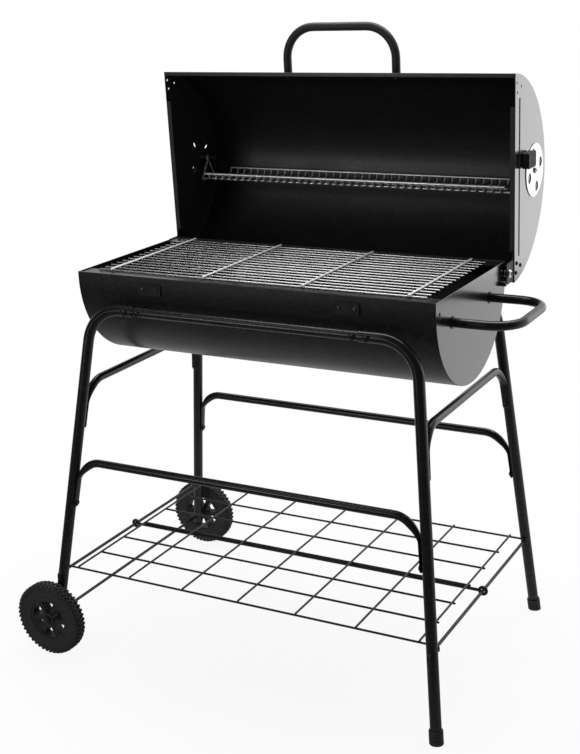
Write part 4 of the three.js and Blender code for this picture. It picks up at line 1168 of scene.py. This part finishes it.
def makeRack():
    low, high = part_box("warming_rack")
    pin = Vector(joints["rack_swing"]["pos_m"])
    top, bottom = pin.z - rackStyle["topDrop"], pin.z - rackStyle["bottomDrop"]
    front, back = pin.y - rackStyle["halfDepth"], pin.y + rackStyle["halfDepth"]
    frontEnd = (low.x + high.x) / 2 - low.x - rackStyle["frontShort"] - rackStyle["endGap"]
    backEnd = frontEnd - (rackStyle["backShort"] - rackStyle["frontShort"])
    rods = [bentTube([(midX - frontEnd, front, top), (midX + frontEnd, front, top)],
                     rackStyle["frontRadius"], sides=16, tip=rackStyle["frontTip"]),
            bentTube([(midX - backEnd, back, top), (midX + backEnd, back, top)],
                     rackStyle["rodRadius"], sides=rackStyle["rodSides"],
                     tip=rackStyle["rodTip"])]
    for way in (-1, 1):
        y = pin.y + way * rackStyle["bottomHalf"]
        rods.append(bentTube([(low.x, y, bottom), (high.x, y, bottom)], rackStyle["rodRadius"],
                             sides=rackStyle["rodSides"], tip=rackStyle["rodTip"]))
    radius, lean = rackStyle["wireRadius"], rackStyle["wireLean"]
    wireZ = bottom + rackStyle["rodRadius"] + radius - rackStyle["wireSink"]
    x = midX - rackStyle["pitch"] * (rackStyle["wires"] - 1) / 2
    wire = bentTube([(x, front, top), (x, front + lean, wireZ), (x, back - lean, wireZ),
                     (x, back, top)], radius, rackStyle["wireBend"], 8, 3)
    repeated(wire, rackStyle["wires"], (rackStyle["pitch"], 0, 0))
    finishPiece(joined(wire, *rods), "warming_rack", rackWire, smooth=50)

    half, eyeDrop, off = rackStyle["hangerHalf"], rackStyle["eye"], rackStyle["eyeOff"]
    foot = pin.z - rackStyle["hangerDrop"]
    for name in sides:
        node = "rack_hanger_" + name
        x = middleOf(node).x
        eye = ring((x, pin.y, pin.z), (0, math.pi / 2, 0), rackStyle["eye"], radius, 28, 12)
        stirrup = bentTube([(x, pin.y - off, pin.z - eyeDrop), (x, pin.y - half, foot),
                            (x, pin.y + half, foot), (x, pin.y + off, pin.z - eyeDrop)],
                           radius, rackStyle["wireBend"], 12, 6)
        finishPiece(joined(eye, stirrup), node, rackWire, smooth=50)


makeVents()
makeRack()
print("vents and rack made")


# Stand

legStyle = {"wall": 0.0012, "bend": 0.07, "sides": 32, "steps": 14, "footGap": 0.0019}
axle = middleOf("wheel_axle")
shelfStyle = {"rodRadius": 0.003, "wireRadius": 0.002, "half": 0.2315, "halfPast": 0.001,
              "inset": 0.0275, "insetPast": 0.004, "wires": 7, "hookReach": 0.0063,
              "hookDrop": 0.009, "hookBend": 0.003, "weld": 0.0004, "gap": 0.0003,
              "rodBend": 0.0034, "rodTip": 0.0006, "wireTip": 0.0005}
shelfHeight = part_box("shelf_rod_left")[1].z - shelfStyle["rodRadius"]
rodPlace = {side: middleOf("shelf_rod_" + name).x for name, side in sides.items()}


def legPoint(side, end, z):  # a point on a leg's centre line
    mount = mounts["foot_front" if end < 0 else "foot_back"]["pos_m"]
    nearX, nearZ = (mount[0], 0) if side > 0 else (axle.x, axle.z)
    slope = (rodPlace[side] - nearX) / (shelfHeight - nearZ)
    lean = (railPlace[end] - mount[1]) / railHeight
    return Vector((nearX + slope * (z - nearZ), mount[1] + lean * z, z))


def makeLegs():
    for endName, end in ends.items():
        for name, side in sides.items():
            node = f"leg_{endName}_{name}"
            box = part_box(node)
            leg = bentTube([(faceOf(box, "x", -side), railPlace[end], railHeight),
                            legPoint(side, end, railHeight),
                            legPoint(side, end, box[0].z + legStyle["footGap"])], legRadius,
                           legStyle["bend"], legStyle["sides"], legStyle["steps"],
                           wall=legStyle["wall"])
            finishPiece(leg, node, satinPaint)


capStyle = {"radius": 0.0125, "height": 0.024, "floor": 0.003, "below": 0.006,
            "plainTo": 0.005, "fit": 0.0003, "grooveDepth": 0.0007,
            "grooves": (0.006, 0.010, 0.014), "grooveShape": (0.0006, 0.0014, 0.002),
            "chamfer": 0.0008, "chamferDrop": 0.002, "steps": 40}


def makeFootCaps():
    radius, height = capStyle["radius"], capStyle["height"]
    inner, bottom = legRadius + capStyle["fit"], radius - capStyle["grooveDepth"]
    profile = [(0, -capStyle["below"]), (radius, -capStyle["below"]),
               (radius, capStyle["plainTo"])]
    for start in capStyle["grooves"]:
        sink, rise, stop = (start + step for step in capStyle["grooveShape"])
        profile += [(radius, start), (bottom, sink), (bottom, rise), (radius, stop)]
    profile += [(radius, height - capStyle["chamferDrop"]),
                (radius - capStyle["chamfer"], height), (inner, height),
                (inner, capStyle["floor"]), (0, capStyle["floor"])]
    for endName, end in ends.items():
        foot = legPoint(1, end, 0)
        up = (legPoint(1, end, 0.1) - foot).normalized()
        cap = lathe(profile, foot, up, capStyle["steps"])
        edit(cap, everything=True)
        cutLevel(0, fill=True)
        leaveEdit()
        finishPiece(facesOutward(cap), "foot_cap_" + endName, gripPlastic)


railStyle = {"radius": 0.0087, "wall": 0.0011, "sides": 32, "bowlBolt": 0.212,
             "bowlSkin": 0.0004, "legScrew": 0.238, "legSkin": 0.0003, "headRadius": 0.0056,
             "headHeight": 0.003, "headSink": 0.0006, "slot": 0.0052, "washer": 0.0068,
             "washerHole": 0.002, "washerHeight": 0.0008, "inTube": 0.8, "overlap": 0.001,
             "bolt": 0.003, "collar": 0.005, "collarHole": 0.0025, "collarGap": 0.0003,
             "collarReach": 0.85, "bowlDrop": 0.005, "nutTail": 0.002, "nutRadius": 0.005,
             "nutHeight": 0.0046}


def railScrew(x, y, end, skin):
    style, out = railStyle, (0, end, 0)
    base = Vector((x, y + end * skin, railHeight))
    return [washer(base, out, style["washer"], style["washerHole"], style["washerHeight"]),
            domedHead(base + Vector((0, end * style["headSink"], 0)), out, style["headRadius"],
                      style["headHeight"] - style["headSink"], style["slot"]),
            roundBar((x, y + end * style["radius"] * style["inTube"], railHeight),
                     base + Vector((0, end * style["overlap"], 0)), style["bolt"], 16)]


def bowlBolt(x, y, end, inside):  # its shank, its distance collar and its nut in the bowl
    style, out = railStyle, (0, end, 0)
    drop = bowlAxis - railHeight
    skinY = midY + end * (math.sqrt(bowlRadius ** 2 - (drop - style["bowlDrop"]) ** 2)
                          + style["collarGap"])
    length = abs(y - end * style["radius"] * style["collarReach"] - skinY)
    return [roundBar((x, inside, railHeight),
                     (x, y - end * style["radius"] * style["inTube"], railHeight),
                     style["bolt"], 16),
            washer((x, skinY, railHeight), out, style["collar"], style["collarHole"], length),
            hexNut((x, inside + end * style["nutTail"], railHeight), out, style["nutRadius"],
                   style["nutHeight"])]


def makeRails():
    for endName, end in ends.items():
        node = "rail_" + endName
        low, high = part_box(node)
        y = railPlace[end]
        parts = [bentTube([(low.x, y, railHeight), (high.x, y, railHeight)],
                          railStyle["radius"], sides=railStyle["sides"],
                          wall=railStyle["wall"])]
        for way in (-1, 1):
            boltX = midX + way * railStyle["bowlBolt"]
            parts += railScrew(boltX, y, end, railStyle["radius"] - railStyle["bowlSkin"])
            parts += railScrew(midX + way * railStyle["legScrew"], y, end,
                               legRadius + railStyle["legSkin"])
            parts += bowlBolt(boltX, y, end, faceOf((low, high), "y", -end))
        finishPiece(joined(*parts), node, satinPaint)


braceStyle = {"radius": 0.0075, "bend": 0.042, "sides": 28, "steps": 16, "flat": 0.0028,
              "roundTo": 0.013, "flatFrom": 0.043, "tail": 0.0088, "tip": 0.0045,
              "gap": 0.0006, "headRadius": 0.0055, "headHeight": 0.003, "headSink": 0.0005,
              "slot": 0.005, "washer": 0.0066, "washerHole": 0.0025, "washerHeight": 0.0008,
              "washerSink": 0.0002, "shank": 0.009, "shankRadius": 0.003, "shankOut": 0.001,
              "boltRise": {"ends": 0.0101, "sides": 0.0100}}


def pressFlat(tube, topZ, lines):  # the tube is pressed thinner as it comes down its leg
    start, stop = braceStyle["roundTo"], braceStyle["flatFrom"]
    thin = braceStyle["flat"] / (2 * braceStyle["radius"])
    for point in tube.data.vertices:
        drop = (topZ - point.co.z - start) / (stop - start)
        if drop <= 0:
            continue
        drop = min(drop, 1.0)
        share = drop * drop * (3 - 2 * drop) * (1 - thin)
        away, sideways = min((((line(point.co.z) - point.co).dot(sideways), sideways)
                              for line, sideways in lines), key=lambda pair: pair[0])
        point.co += sideways * (away - legRadius - braceStyle["gap"]) * share


def makeBrace(node, boltRise, lines):
    style, radius = braceStyle, braceStyle["radius"]
    low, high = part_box(node)
    boltZ, topZ = low.z + boltRise, high.z - radius
    offset = legRadius + style["gap"] + radius
    flatPlace = legRadius + style["gap"] + style["flat"]
    feet = [line(boltZ - style["tail"]) - sideways * offset for line, sideways in lines]
    tops = [line(topZ) - sideways * offset for line, sideways in lines]
    tube = bentTube([feet[0], tops[0], tops[1], feet[1]], radius, style["bend"],
                    style["sides"], style["steps"], tip=style["tip"])
    pressFlat(tube, topZ, lines)
    parts = [tube]
    for line, sideways in lines:
        face = line(boltZ) - sideways * flatPlace
        parts += [washer(face + sideways * style["washerSink"], -sideways, style["washer"],
                         style["washerHole"], style["washerHeight"]),
                  domedHead(face - sideways * style["headSink"], -sideways,
                            style["headRadius"], style["headHeight"] - style["headSink"],
                            style["slot"]),
                  roundBar(face - sideways * style["shankOut"],
                           face + sideways * style["shank"], style["shankRadius"], 16)]
    finishPiece(joined(*parts), node, satinPaint)


def makeBraces():
    for endName, end in ends.items():
        makeBrace("brace_" + endName, braceStyle["boltRise"]["ends"],
                  [(lambda z, side=side: legPoint(side, end, z), Vector((side, 0, 0)))
                   for side in (-1, 1)])
    for name, side in sides.items():
        makeBrace("brace_" + name, braceStyle["boltRise"]["sides"],
                  [(lambda z, end=end: legPoint(side, end, z), Vector((0, end, 0)))
                   for end in (-1, 1)])


makeLegs()
makeFootCaps()
makeRails()
makeBraces()
print("stand made")


# Shelf

def shelfRods():
    rod = shelfStyle["rodRadius"]
    for name, side in sides.items():
        low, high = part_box("shelf_rod_" + name)
        x = rodPlace[side]
        piece = bentTube([(x, low.y + rod, low.z), (x, low.y + rod, shelfHeight),
                          (x, high.y - rod, shelfHeight), (x, high.y - rod, low.z)],
                         rod, shelfStyle["rodBend"], 16, 5, tip=shelfStyle["rodTip"])
        finishPiece(piece, "shelf_rod_" + name, wirePaint)


def shelfTie():
    rod = shelfStyle["rodRadius"]
    eye = 2 * rod + shelfStyle["gap"]
    parts = [bentTube([(rodPlace[-1] + eye, midY, shelfHeight),
                       (rodPlace[1] - eye, midY, shelfHeight)], rod, sides=20,
                      tip=shelfStyle["rodTip"])]
    parts += [ring((rodPlace[side], midY, shelfHeight), (math.pi / 2, 0, 0),
                   eye + shelfStyle["gap"], rod, 40, 16) for side in (-1, 1)]
    finishPiece(joined(*parts), "shelf_tie_rod", wirePaint)


def shelfGrid():
    style, wire = shelfStyle, shelfStyle["wireRadius"]
    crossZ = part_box("shelf_grid")[1].z - wire
    longZ = crossZ - 2 * wire + style["weld"]
    first, last = rodPlace[-1] + style["inset"], rodPlace[1] - style["inset"]
    pitch = (last - first) / (style["wires"] - 1)
    half = style["half"]
    step = 2 * half / (style["wires"] - 1)
    wires = [repeated(bentTube([(first, midY - half - style["halfPast"], crossZ),
                                (first, midY + half + style["halfPast"], crossZ)],
                               wire, sides=12, tip=style["wireTip"]),
                      style["wires"], (pitch, 0, 0)),
             repeated(bentTube([(first - style["insetPast"], midY - half + step, longZ),
                                (last + style["insetPast"], midY - half + step, longZ)],
                               wire, sides=12, tip=style["wireTip"]),
                      style["wires"] - 2, (0, step, 0))]
    left, right = rodPlace[-1] - style["hookReach"], rodPlace[1] + style["hookReach"]
    footZ = longZ - style["hookDrop"]
    for way in (-1, 1):
        y = midY + way * half
        wires.append(bentTube([(left, y, footZ), (left, y, longZ), (right, y, longZ),
                               (right, y, footZ)], wire, style["hookBend"], 12, 5,
                              tip=style["wireTip"]))
    finishPiece(joined(*wires), "shelf_grid", wirePaint)


shelfRods()
shelfTie()
shelfGrid()
print("shelf made")


# Wheels

wheelStyle = {"radius": 0.072, "lug": 0.0026, "lugs": 48, "halfWidth": 0.013, "recess": 0.040,
              "lugInset": 0.0005, "lugRise": 0.97, "shoulderInset": 0.0004,
              "shoulderRise": 0.0008, "shoulderFrom": 0.008, "treadFrom": 0.003,
              "fromRecess": ((0, 0.6), (0.0008, 0.86), (0.003, 0.9), (0.0042, 0.84),
                             (0.014, 0.92), (0.0155, 0.98), (0.0185, 0.93)),
              "fromRoot": ((0.009, 0.92), (0.0025, 0.9), (0, 0.7), (0, 0.32)),
              "rimSteps": 96, "rimOverlap": 0.0004, "rimWall": 0.0036, "rimHalf": 0.0098,
              "webWall": 0.0030, "webHalf": 0.004, "spokes": 6, "spokeWidth": 0.0078,
              "spokeDepth": 0.0095, "spokeInHub": 0.005, "spokeInRim": 0.001,
              "spokeInset": 0.0016, "spokeSink": -0.0022, "spokeSplay": 1.35,
              "spokeEdge": 0.0006, "hub": 0.0148, "hubHalf": 0.012, "bore": 0.0032,
              "hubChamfer": 0.001, "hubWaist": ((0.001, 0.009), (0.0025, 0.007)),
              "hubSteps": 48}


def turned(profile, half):  # a profile given for one half, and its mirror image
    return ([(radius, -height * half) for radius, height in profile]
            + [(radius, height * half) for radius, height in reversed(profile)])


def makeTyre(centre, direction):
    root = wheelStyle["radius"] - wheelStyle["lug"]
    half, recess = wheelStyle["halfWidth"], wheelStyle["recess"]
    steps = 2 * wheelStyle["lugs"]
    profile = ([(recess + out, height) for out, height in wheelStyle["fromRecess"]]
               + [(root - back, height) for back, height in wheelStyle["fromRoot"]])
    tyre = lathe(turned(profile, half), centre, direction, steps)
    across = direction.orthogonal().normalized()
    other = direction.cross(across)

    def isLug(middle, normal, shoulder=False):
        away = middle - centre
        height = away.dot(direction)
        flat = (away - direction * height).length
        onShoulder = flat < root - wheelStyle["treadFrom"]
        if flat < root - wheelStyle["shoulderFrom"] or onShoulder != shoulder:
            return False
        turn = math.atan2(away.dot(other), away.dot(across)) / (2 * math.pi)
        row = round(abs(height) / half + (0.6 if height > 0 else 0.1))
        return (math.floor(turn * steps) + row) % 2 == 0

    edit(tyre)
    pick("FACE", isLug)
    bpy.ops.mesh.inset(thickness=wheelStyle["lugInset"], use_individual=True,
                       depth=wheelStyle["lug"] * wheelStyle["lugRise"])
    pick("FACE", lambda place, normal: isLug(place, normal, True))
    bpy.ops.mesh.inset(thickness=wheelStyle["shoulderInset"], use_individual=True,
                       depth=wheelStyle["shoulderRise"])
    leaveEdit()
    return tyre


def makeSpokes(centre, inner):
    width, depth = wheelStyle["spokeWidth"], wheelStyle["spokeDepth"]
    start = wheelStyle["hub"] - wheelStyle["spokeInHub"]
    spoke = boxBetween(centre + Vector((start, -depth, -width / 2)),
                       centre + Vector((inner - wheelStyle["spokeInRim"], depth, width / 2)))
    edit(spoke)
    pick("FACE", lambda place, normal: abs(normal.y) > flatOn)
    bpy.ops.mesh.inset(thickness=wheelStyle["spokeInset"], depth=wheelStyle["spokeSink"],
                       use_individual=True)
    pick("FACE", lambda place, normal: normal.x > flatOn)
    bpy.ops.transform.resize(value=(1, 1, wheelStyle["spokeSplay"]), center_override=centre)
    leaveEdit()
    spokes = [roundEdges(spoke, wheelStyle["spokeEdge"])]
    for number in range(1, wheelStyle["spokes"]):
        selectOnly(spoke)
        bpy.ops.object.duplicate(linked=False)
        bpy.ops.transform.rotate(value=2 * math.pi * number / wheelStyle["spokes"],
                                 orient_axis="Y", center_override=centre)
        spokes.append(settle(bpy.context.object))
    return spokes


def makeWheel(node, end):
    centre, direction = middleOf(node), Vector((0, end, 0))
    tyre = makeTyre(centre, direction)
    inner = wheelStyle["recess"] + wheelStyle["rimOverlap"]
    rimHalf, webHalf = wheelStyle["rimHalf"], wheelStyle["webHalf"]
    wall, web = inner - wheelStyle["rimWall"], inner - wheelStyle["webWall"]
    rim = lathe([(wall, -rimHalf), (inner, -rimHalf), (inner, rimHalf), (wall, rimHalf),
                 (web, webHalf), (web, -webHalf)], centre, direction, wheelStyle["rimSteps"])
    hub, hubHalf, chamfer = (wheelStyle[key] for key in ("hub", "hubHalf", "hubChamfer"))
    profile = [(wheelStyle["bore"], hubHalf), (hub - 4 * chamfer, hubHalf),
               (hub - 2 * chamfer, hubHalf - chamfer)]
    profile += [(hub - back, height) for back, height in wheelStyle["hubWaist"]]
    middle = lathe(turned(profile, 1), centre, direction, wheelStyle["hubSteps"])
    finishPiece(joined(tyre, rim, middle, *makeSpokes(centre, inner)), node, tyrePlastic)


axleStyle = {"radius": 0.003, "tip": 0.0008, "sides": 28, "capBore": 0.0031, "capSteps": 40,
             "capEdge": 0.0008,
             "capDome": ((1, 0.45), (0.93, 0.68), (0.72, 0.87), (0.4, 0.97), (0, 1))}


def makeAxleCap(node, end):
    low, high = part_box(node)
    radius, height, bore = (high.x - low.x) / 2, high.y - low.y, axleStyle["capBore"]
    base = Vector(((low.x + high.x) / 2, faceOf((low, high), "y", -end), (low.z + high.z) / 2))
    dome = [(radius * out, height * up) for out, up in axleStyle["capDome"]]
    cap = lathe([(bore, 0), (radius * 0.9, 0), (radius, axleStyle["capEdge"]), *dome,
                 (0, height * 0.75), (bore, height * 0.7)], base, (0, end, 0),
                axleStyle["capSteps"])
    finishPiece(cap, node, gripPlastic)


def makeWheels():
    for endName, end in ends.items():
        makeWheel("wheel_" + endName, end)
        makeAxleCap("axle_cap_" + endName, end)
    low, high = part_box("wheel_axle")
    bar = bentTube([(axle.x, low.y, axle.z), (axle.x, high.y, axle.z)], axleStyle["radius"],
                   sides=axleStyle["sides"], tip=axleStyle["tip"])
    finishPiece(bar, "wheel_axle", satinPaint)


makeWheels()
print("wheels made")


# Floor, light and camera

stageStyle = {"floor": 14.0, "floorDrop": 0.0005, "floorColour": (0.92, 0.92, 0.92),
              "floorRoughness": 0.75, "floorShine": 0.1, "near": 0.4, "far": 1.5,
              "glow": 0.9, "mirrorFront": -0.8, "mirrorBack": 1.3, "mirrorDim": 0.07,
              "ambient": 0.34, "glossFront": -0.1, "glossBack": 0.8, "glossDim": 0.04,
              "glossBright": 1.0}


def makeFloor():  # as white as the backdrop to the camera, darker in front to polished metal
    selectOnly()
    bpy.ops.mesh.primitive_grid_add(x_subdivisions=8, y_subdivisions=8, size=stageStyle["floor"],
                                    location=(midX, midY, -stageStyle["floorDrop"]))
    floor = settle(bpy.context.object)
    floor.name = "floor"
    material, tree, shader, places = startMaterial("paleFloor")
    for label, value in (("Base Color", (*stageStyle["floorColour"], 1)),
                         ("Roughness", stageStyle["floorRoughness"]),
                         ("Specular IOR Level", stageStyle["floorShine"])):
        shader.inputs[label].default_value = value
    away = add(tree, "ShaderNodeVectorMath", {"operation": "LENGTH"},
               Vector=places.outputs["Object"])
    far = spread(tree, away.outputs["Value"], stageStyle["near"], stageStyle["far"],
                 stageStyle["glow"], 1.0)
    ray = tree.nodes.new("ShaderNodeLightPath")
    split = add(tree, "ShaderNodeSeparateXYZ", Vector=places.outputs["Object"])
    mirrored = spread(tree, split.outputs["Y"], stageStyle["mirrorFront"],
                      stageStyle["mirrorBack"], stageStyle["mirrorDim"], 1.0)
    amount = sums(tree, "MAXIMUM", ray.outputs["Is Glossy Ray"],
                  sums(tree, "MULTIPLY", far, ray.outputs["Is Camera Ray"]))
    level = sums(tree, "MAXIMUM", ray.outputs["Is Camera Ray"], mirrored)
    white = add(tree, "ShaderNodeEmission", Color=(1, 1, 1, 1), Strength=level)
    blend = tree.nodes.new("ShaderNodeMixShader")
    for socket, value in zip(blend.inputs, (amount, shader.outputs[0], white.outputs[0])):
        tree.links.new(value, socket)
    tree.links.new(blend.outputs[0], tree.nodes["Material Output"].inputs["Surface"])
    floor.data.materials.append(material)


def makeWorld():  # white to the camera, plain light for the rest, dark in front to metal
    world = bpy.data.worlds.new("studio")
    bpy.context.scene.world = world
    world.use_nodes = True
    tree = world.node_tree
    back = tree.nodes["Background"]
    back.inputs["Color"].default_value = (1, 1, 1, 1)
    places = tree.nodes.new("ShaderNodeTexCoord")
    split = add(tree, "ShaderNodeSeparateXYZ", Vector=places.outputs["Generated"])
    depth = spread(tree, split.outputs["Y"], stageStyle["glossFront"], stageStyle["glossBack"],
                   stageStyle["glossDim"], stageStyle["glossBright"])
    ray = tree.nodes.new("ShaderNodeLightPath")
    seen = sums(tree, "MAXIMUM", ray.outputs["Is Camera Ray"], ray.outputs["Is Transmission Ray"])
    mirrored = add(tree, "ShaderNodeMix", Factor=ray.outputs["Is Glossy Ray"],
                   A=stageStyle["ambient"], B=depth)
    tree.links.new(sums(tree, "MAXIMUM", seen, mirrored.outputs["Result"]),
                   back.inputs["Strength"])


lampStyle = {
    "overhead": {"place": (-0.2, 0.75, 3.0), "aim": (0, 0, 0.6), "size": (2.6, 1.8),
                 "power": 75.0},
    "leftFront": {"place": (-1.3, -2.7, 0.9), "aim": (0, 0.2, 0.9), "size": (0.9, 0.9),
                  "power": 10.0},
    "highLeft": {"place": (-1.2, -1.8, 2.6), "aim": (0, 0.3, 1.0), "size": (0.9, 0.9),
                 "power": 3.5},
    "endPlates": {"place": (0.98, 1.3, 0.86), "aim": (0.36, 0.2, 0.9), "size": (0.95, 0.9),
                  "power": 2.4},
}


def makeLamps():
    for name, style in lampStyle.items():
        light = bpy.data.lights.new(name, "AREA")
        light.shape = "RECTANGLE"
        light.size, light.size_y = style["size"]
        light.energy = style["power"]
        lamp = bpy.data.objects.new(name, light)
        bpy.context.scene.collection.objects.link(lamp)
        lamp.location = style["place"]
        lamp.rotation_euler = facing(Vector(style["place"]) - Vector(style["aim"]))
        lamp.visible_camera = False


cameraStyle = {"aim": (-0.0069, -0.0254, 0.5188), "distance": 2.4274, "azimuth": 28.55,
               "elevation": 17.35, "roll": -2.08, "lens": 80.83, "sensor": 36.0}


def makeCamera():
    turn, rise = math.radians(cameraStyle["azimuth"]), math.radians(cameraStyle["elevation"])
    away = Vector((math.sin(turn) * math.cos(rise), -math.cos(turn) * math.cos(rise),
                   math.sin(rise)))
    view = bpy.data.cameras.new("viewCamera")
    view.sensor_fit = "HORIZONTAL"
    view.sensor_width = cameraStyle["sensor"]
    view.lens = cameraStyle["lens"]
    camera = bpy.data.objects.new("viewCamera", view)
    bpy.context.scene.collection.objects.link(camera)
    camera.location = Vector(cameraStyle["aim"]) + away * cameraStyle["distance"]
    look = away.to_track_quat("Z", "Y").to_matrix()
    roll = Euler((0, 0, math.radians(cameraStyle["roll"]))).to_matrix()
    camera.rotation_euler = (look @ roll).to_euler()
    bpy.context.scene.camera = camera


makeFloor()
makeWorld()
makeLamps()
makeCamera()
bpy.context.scene.view_settings.view_transform = "Standard"
print("stage set")
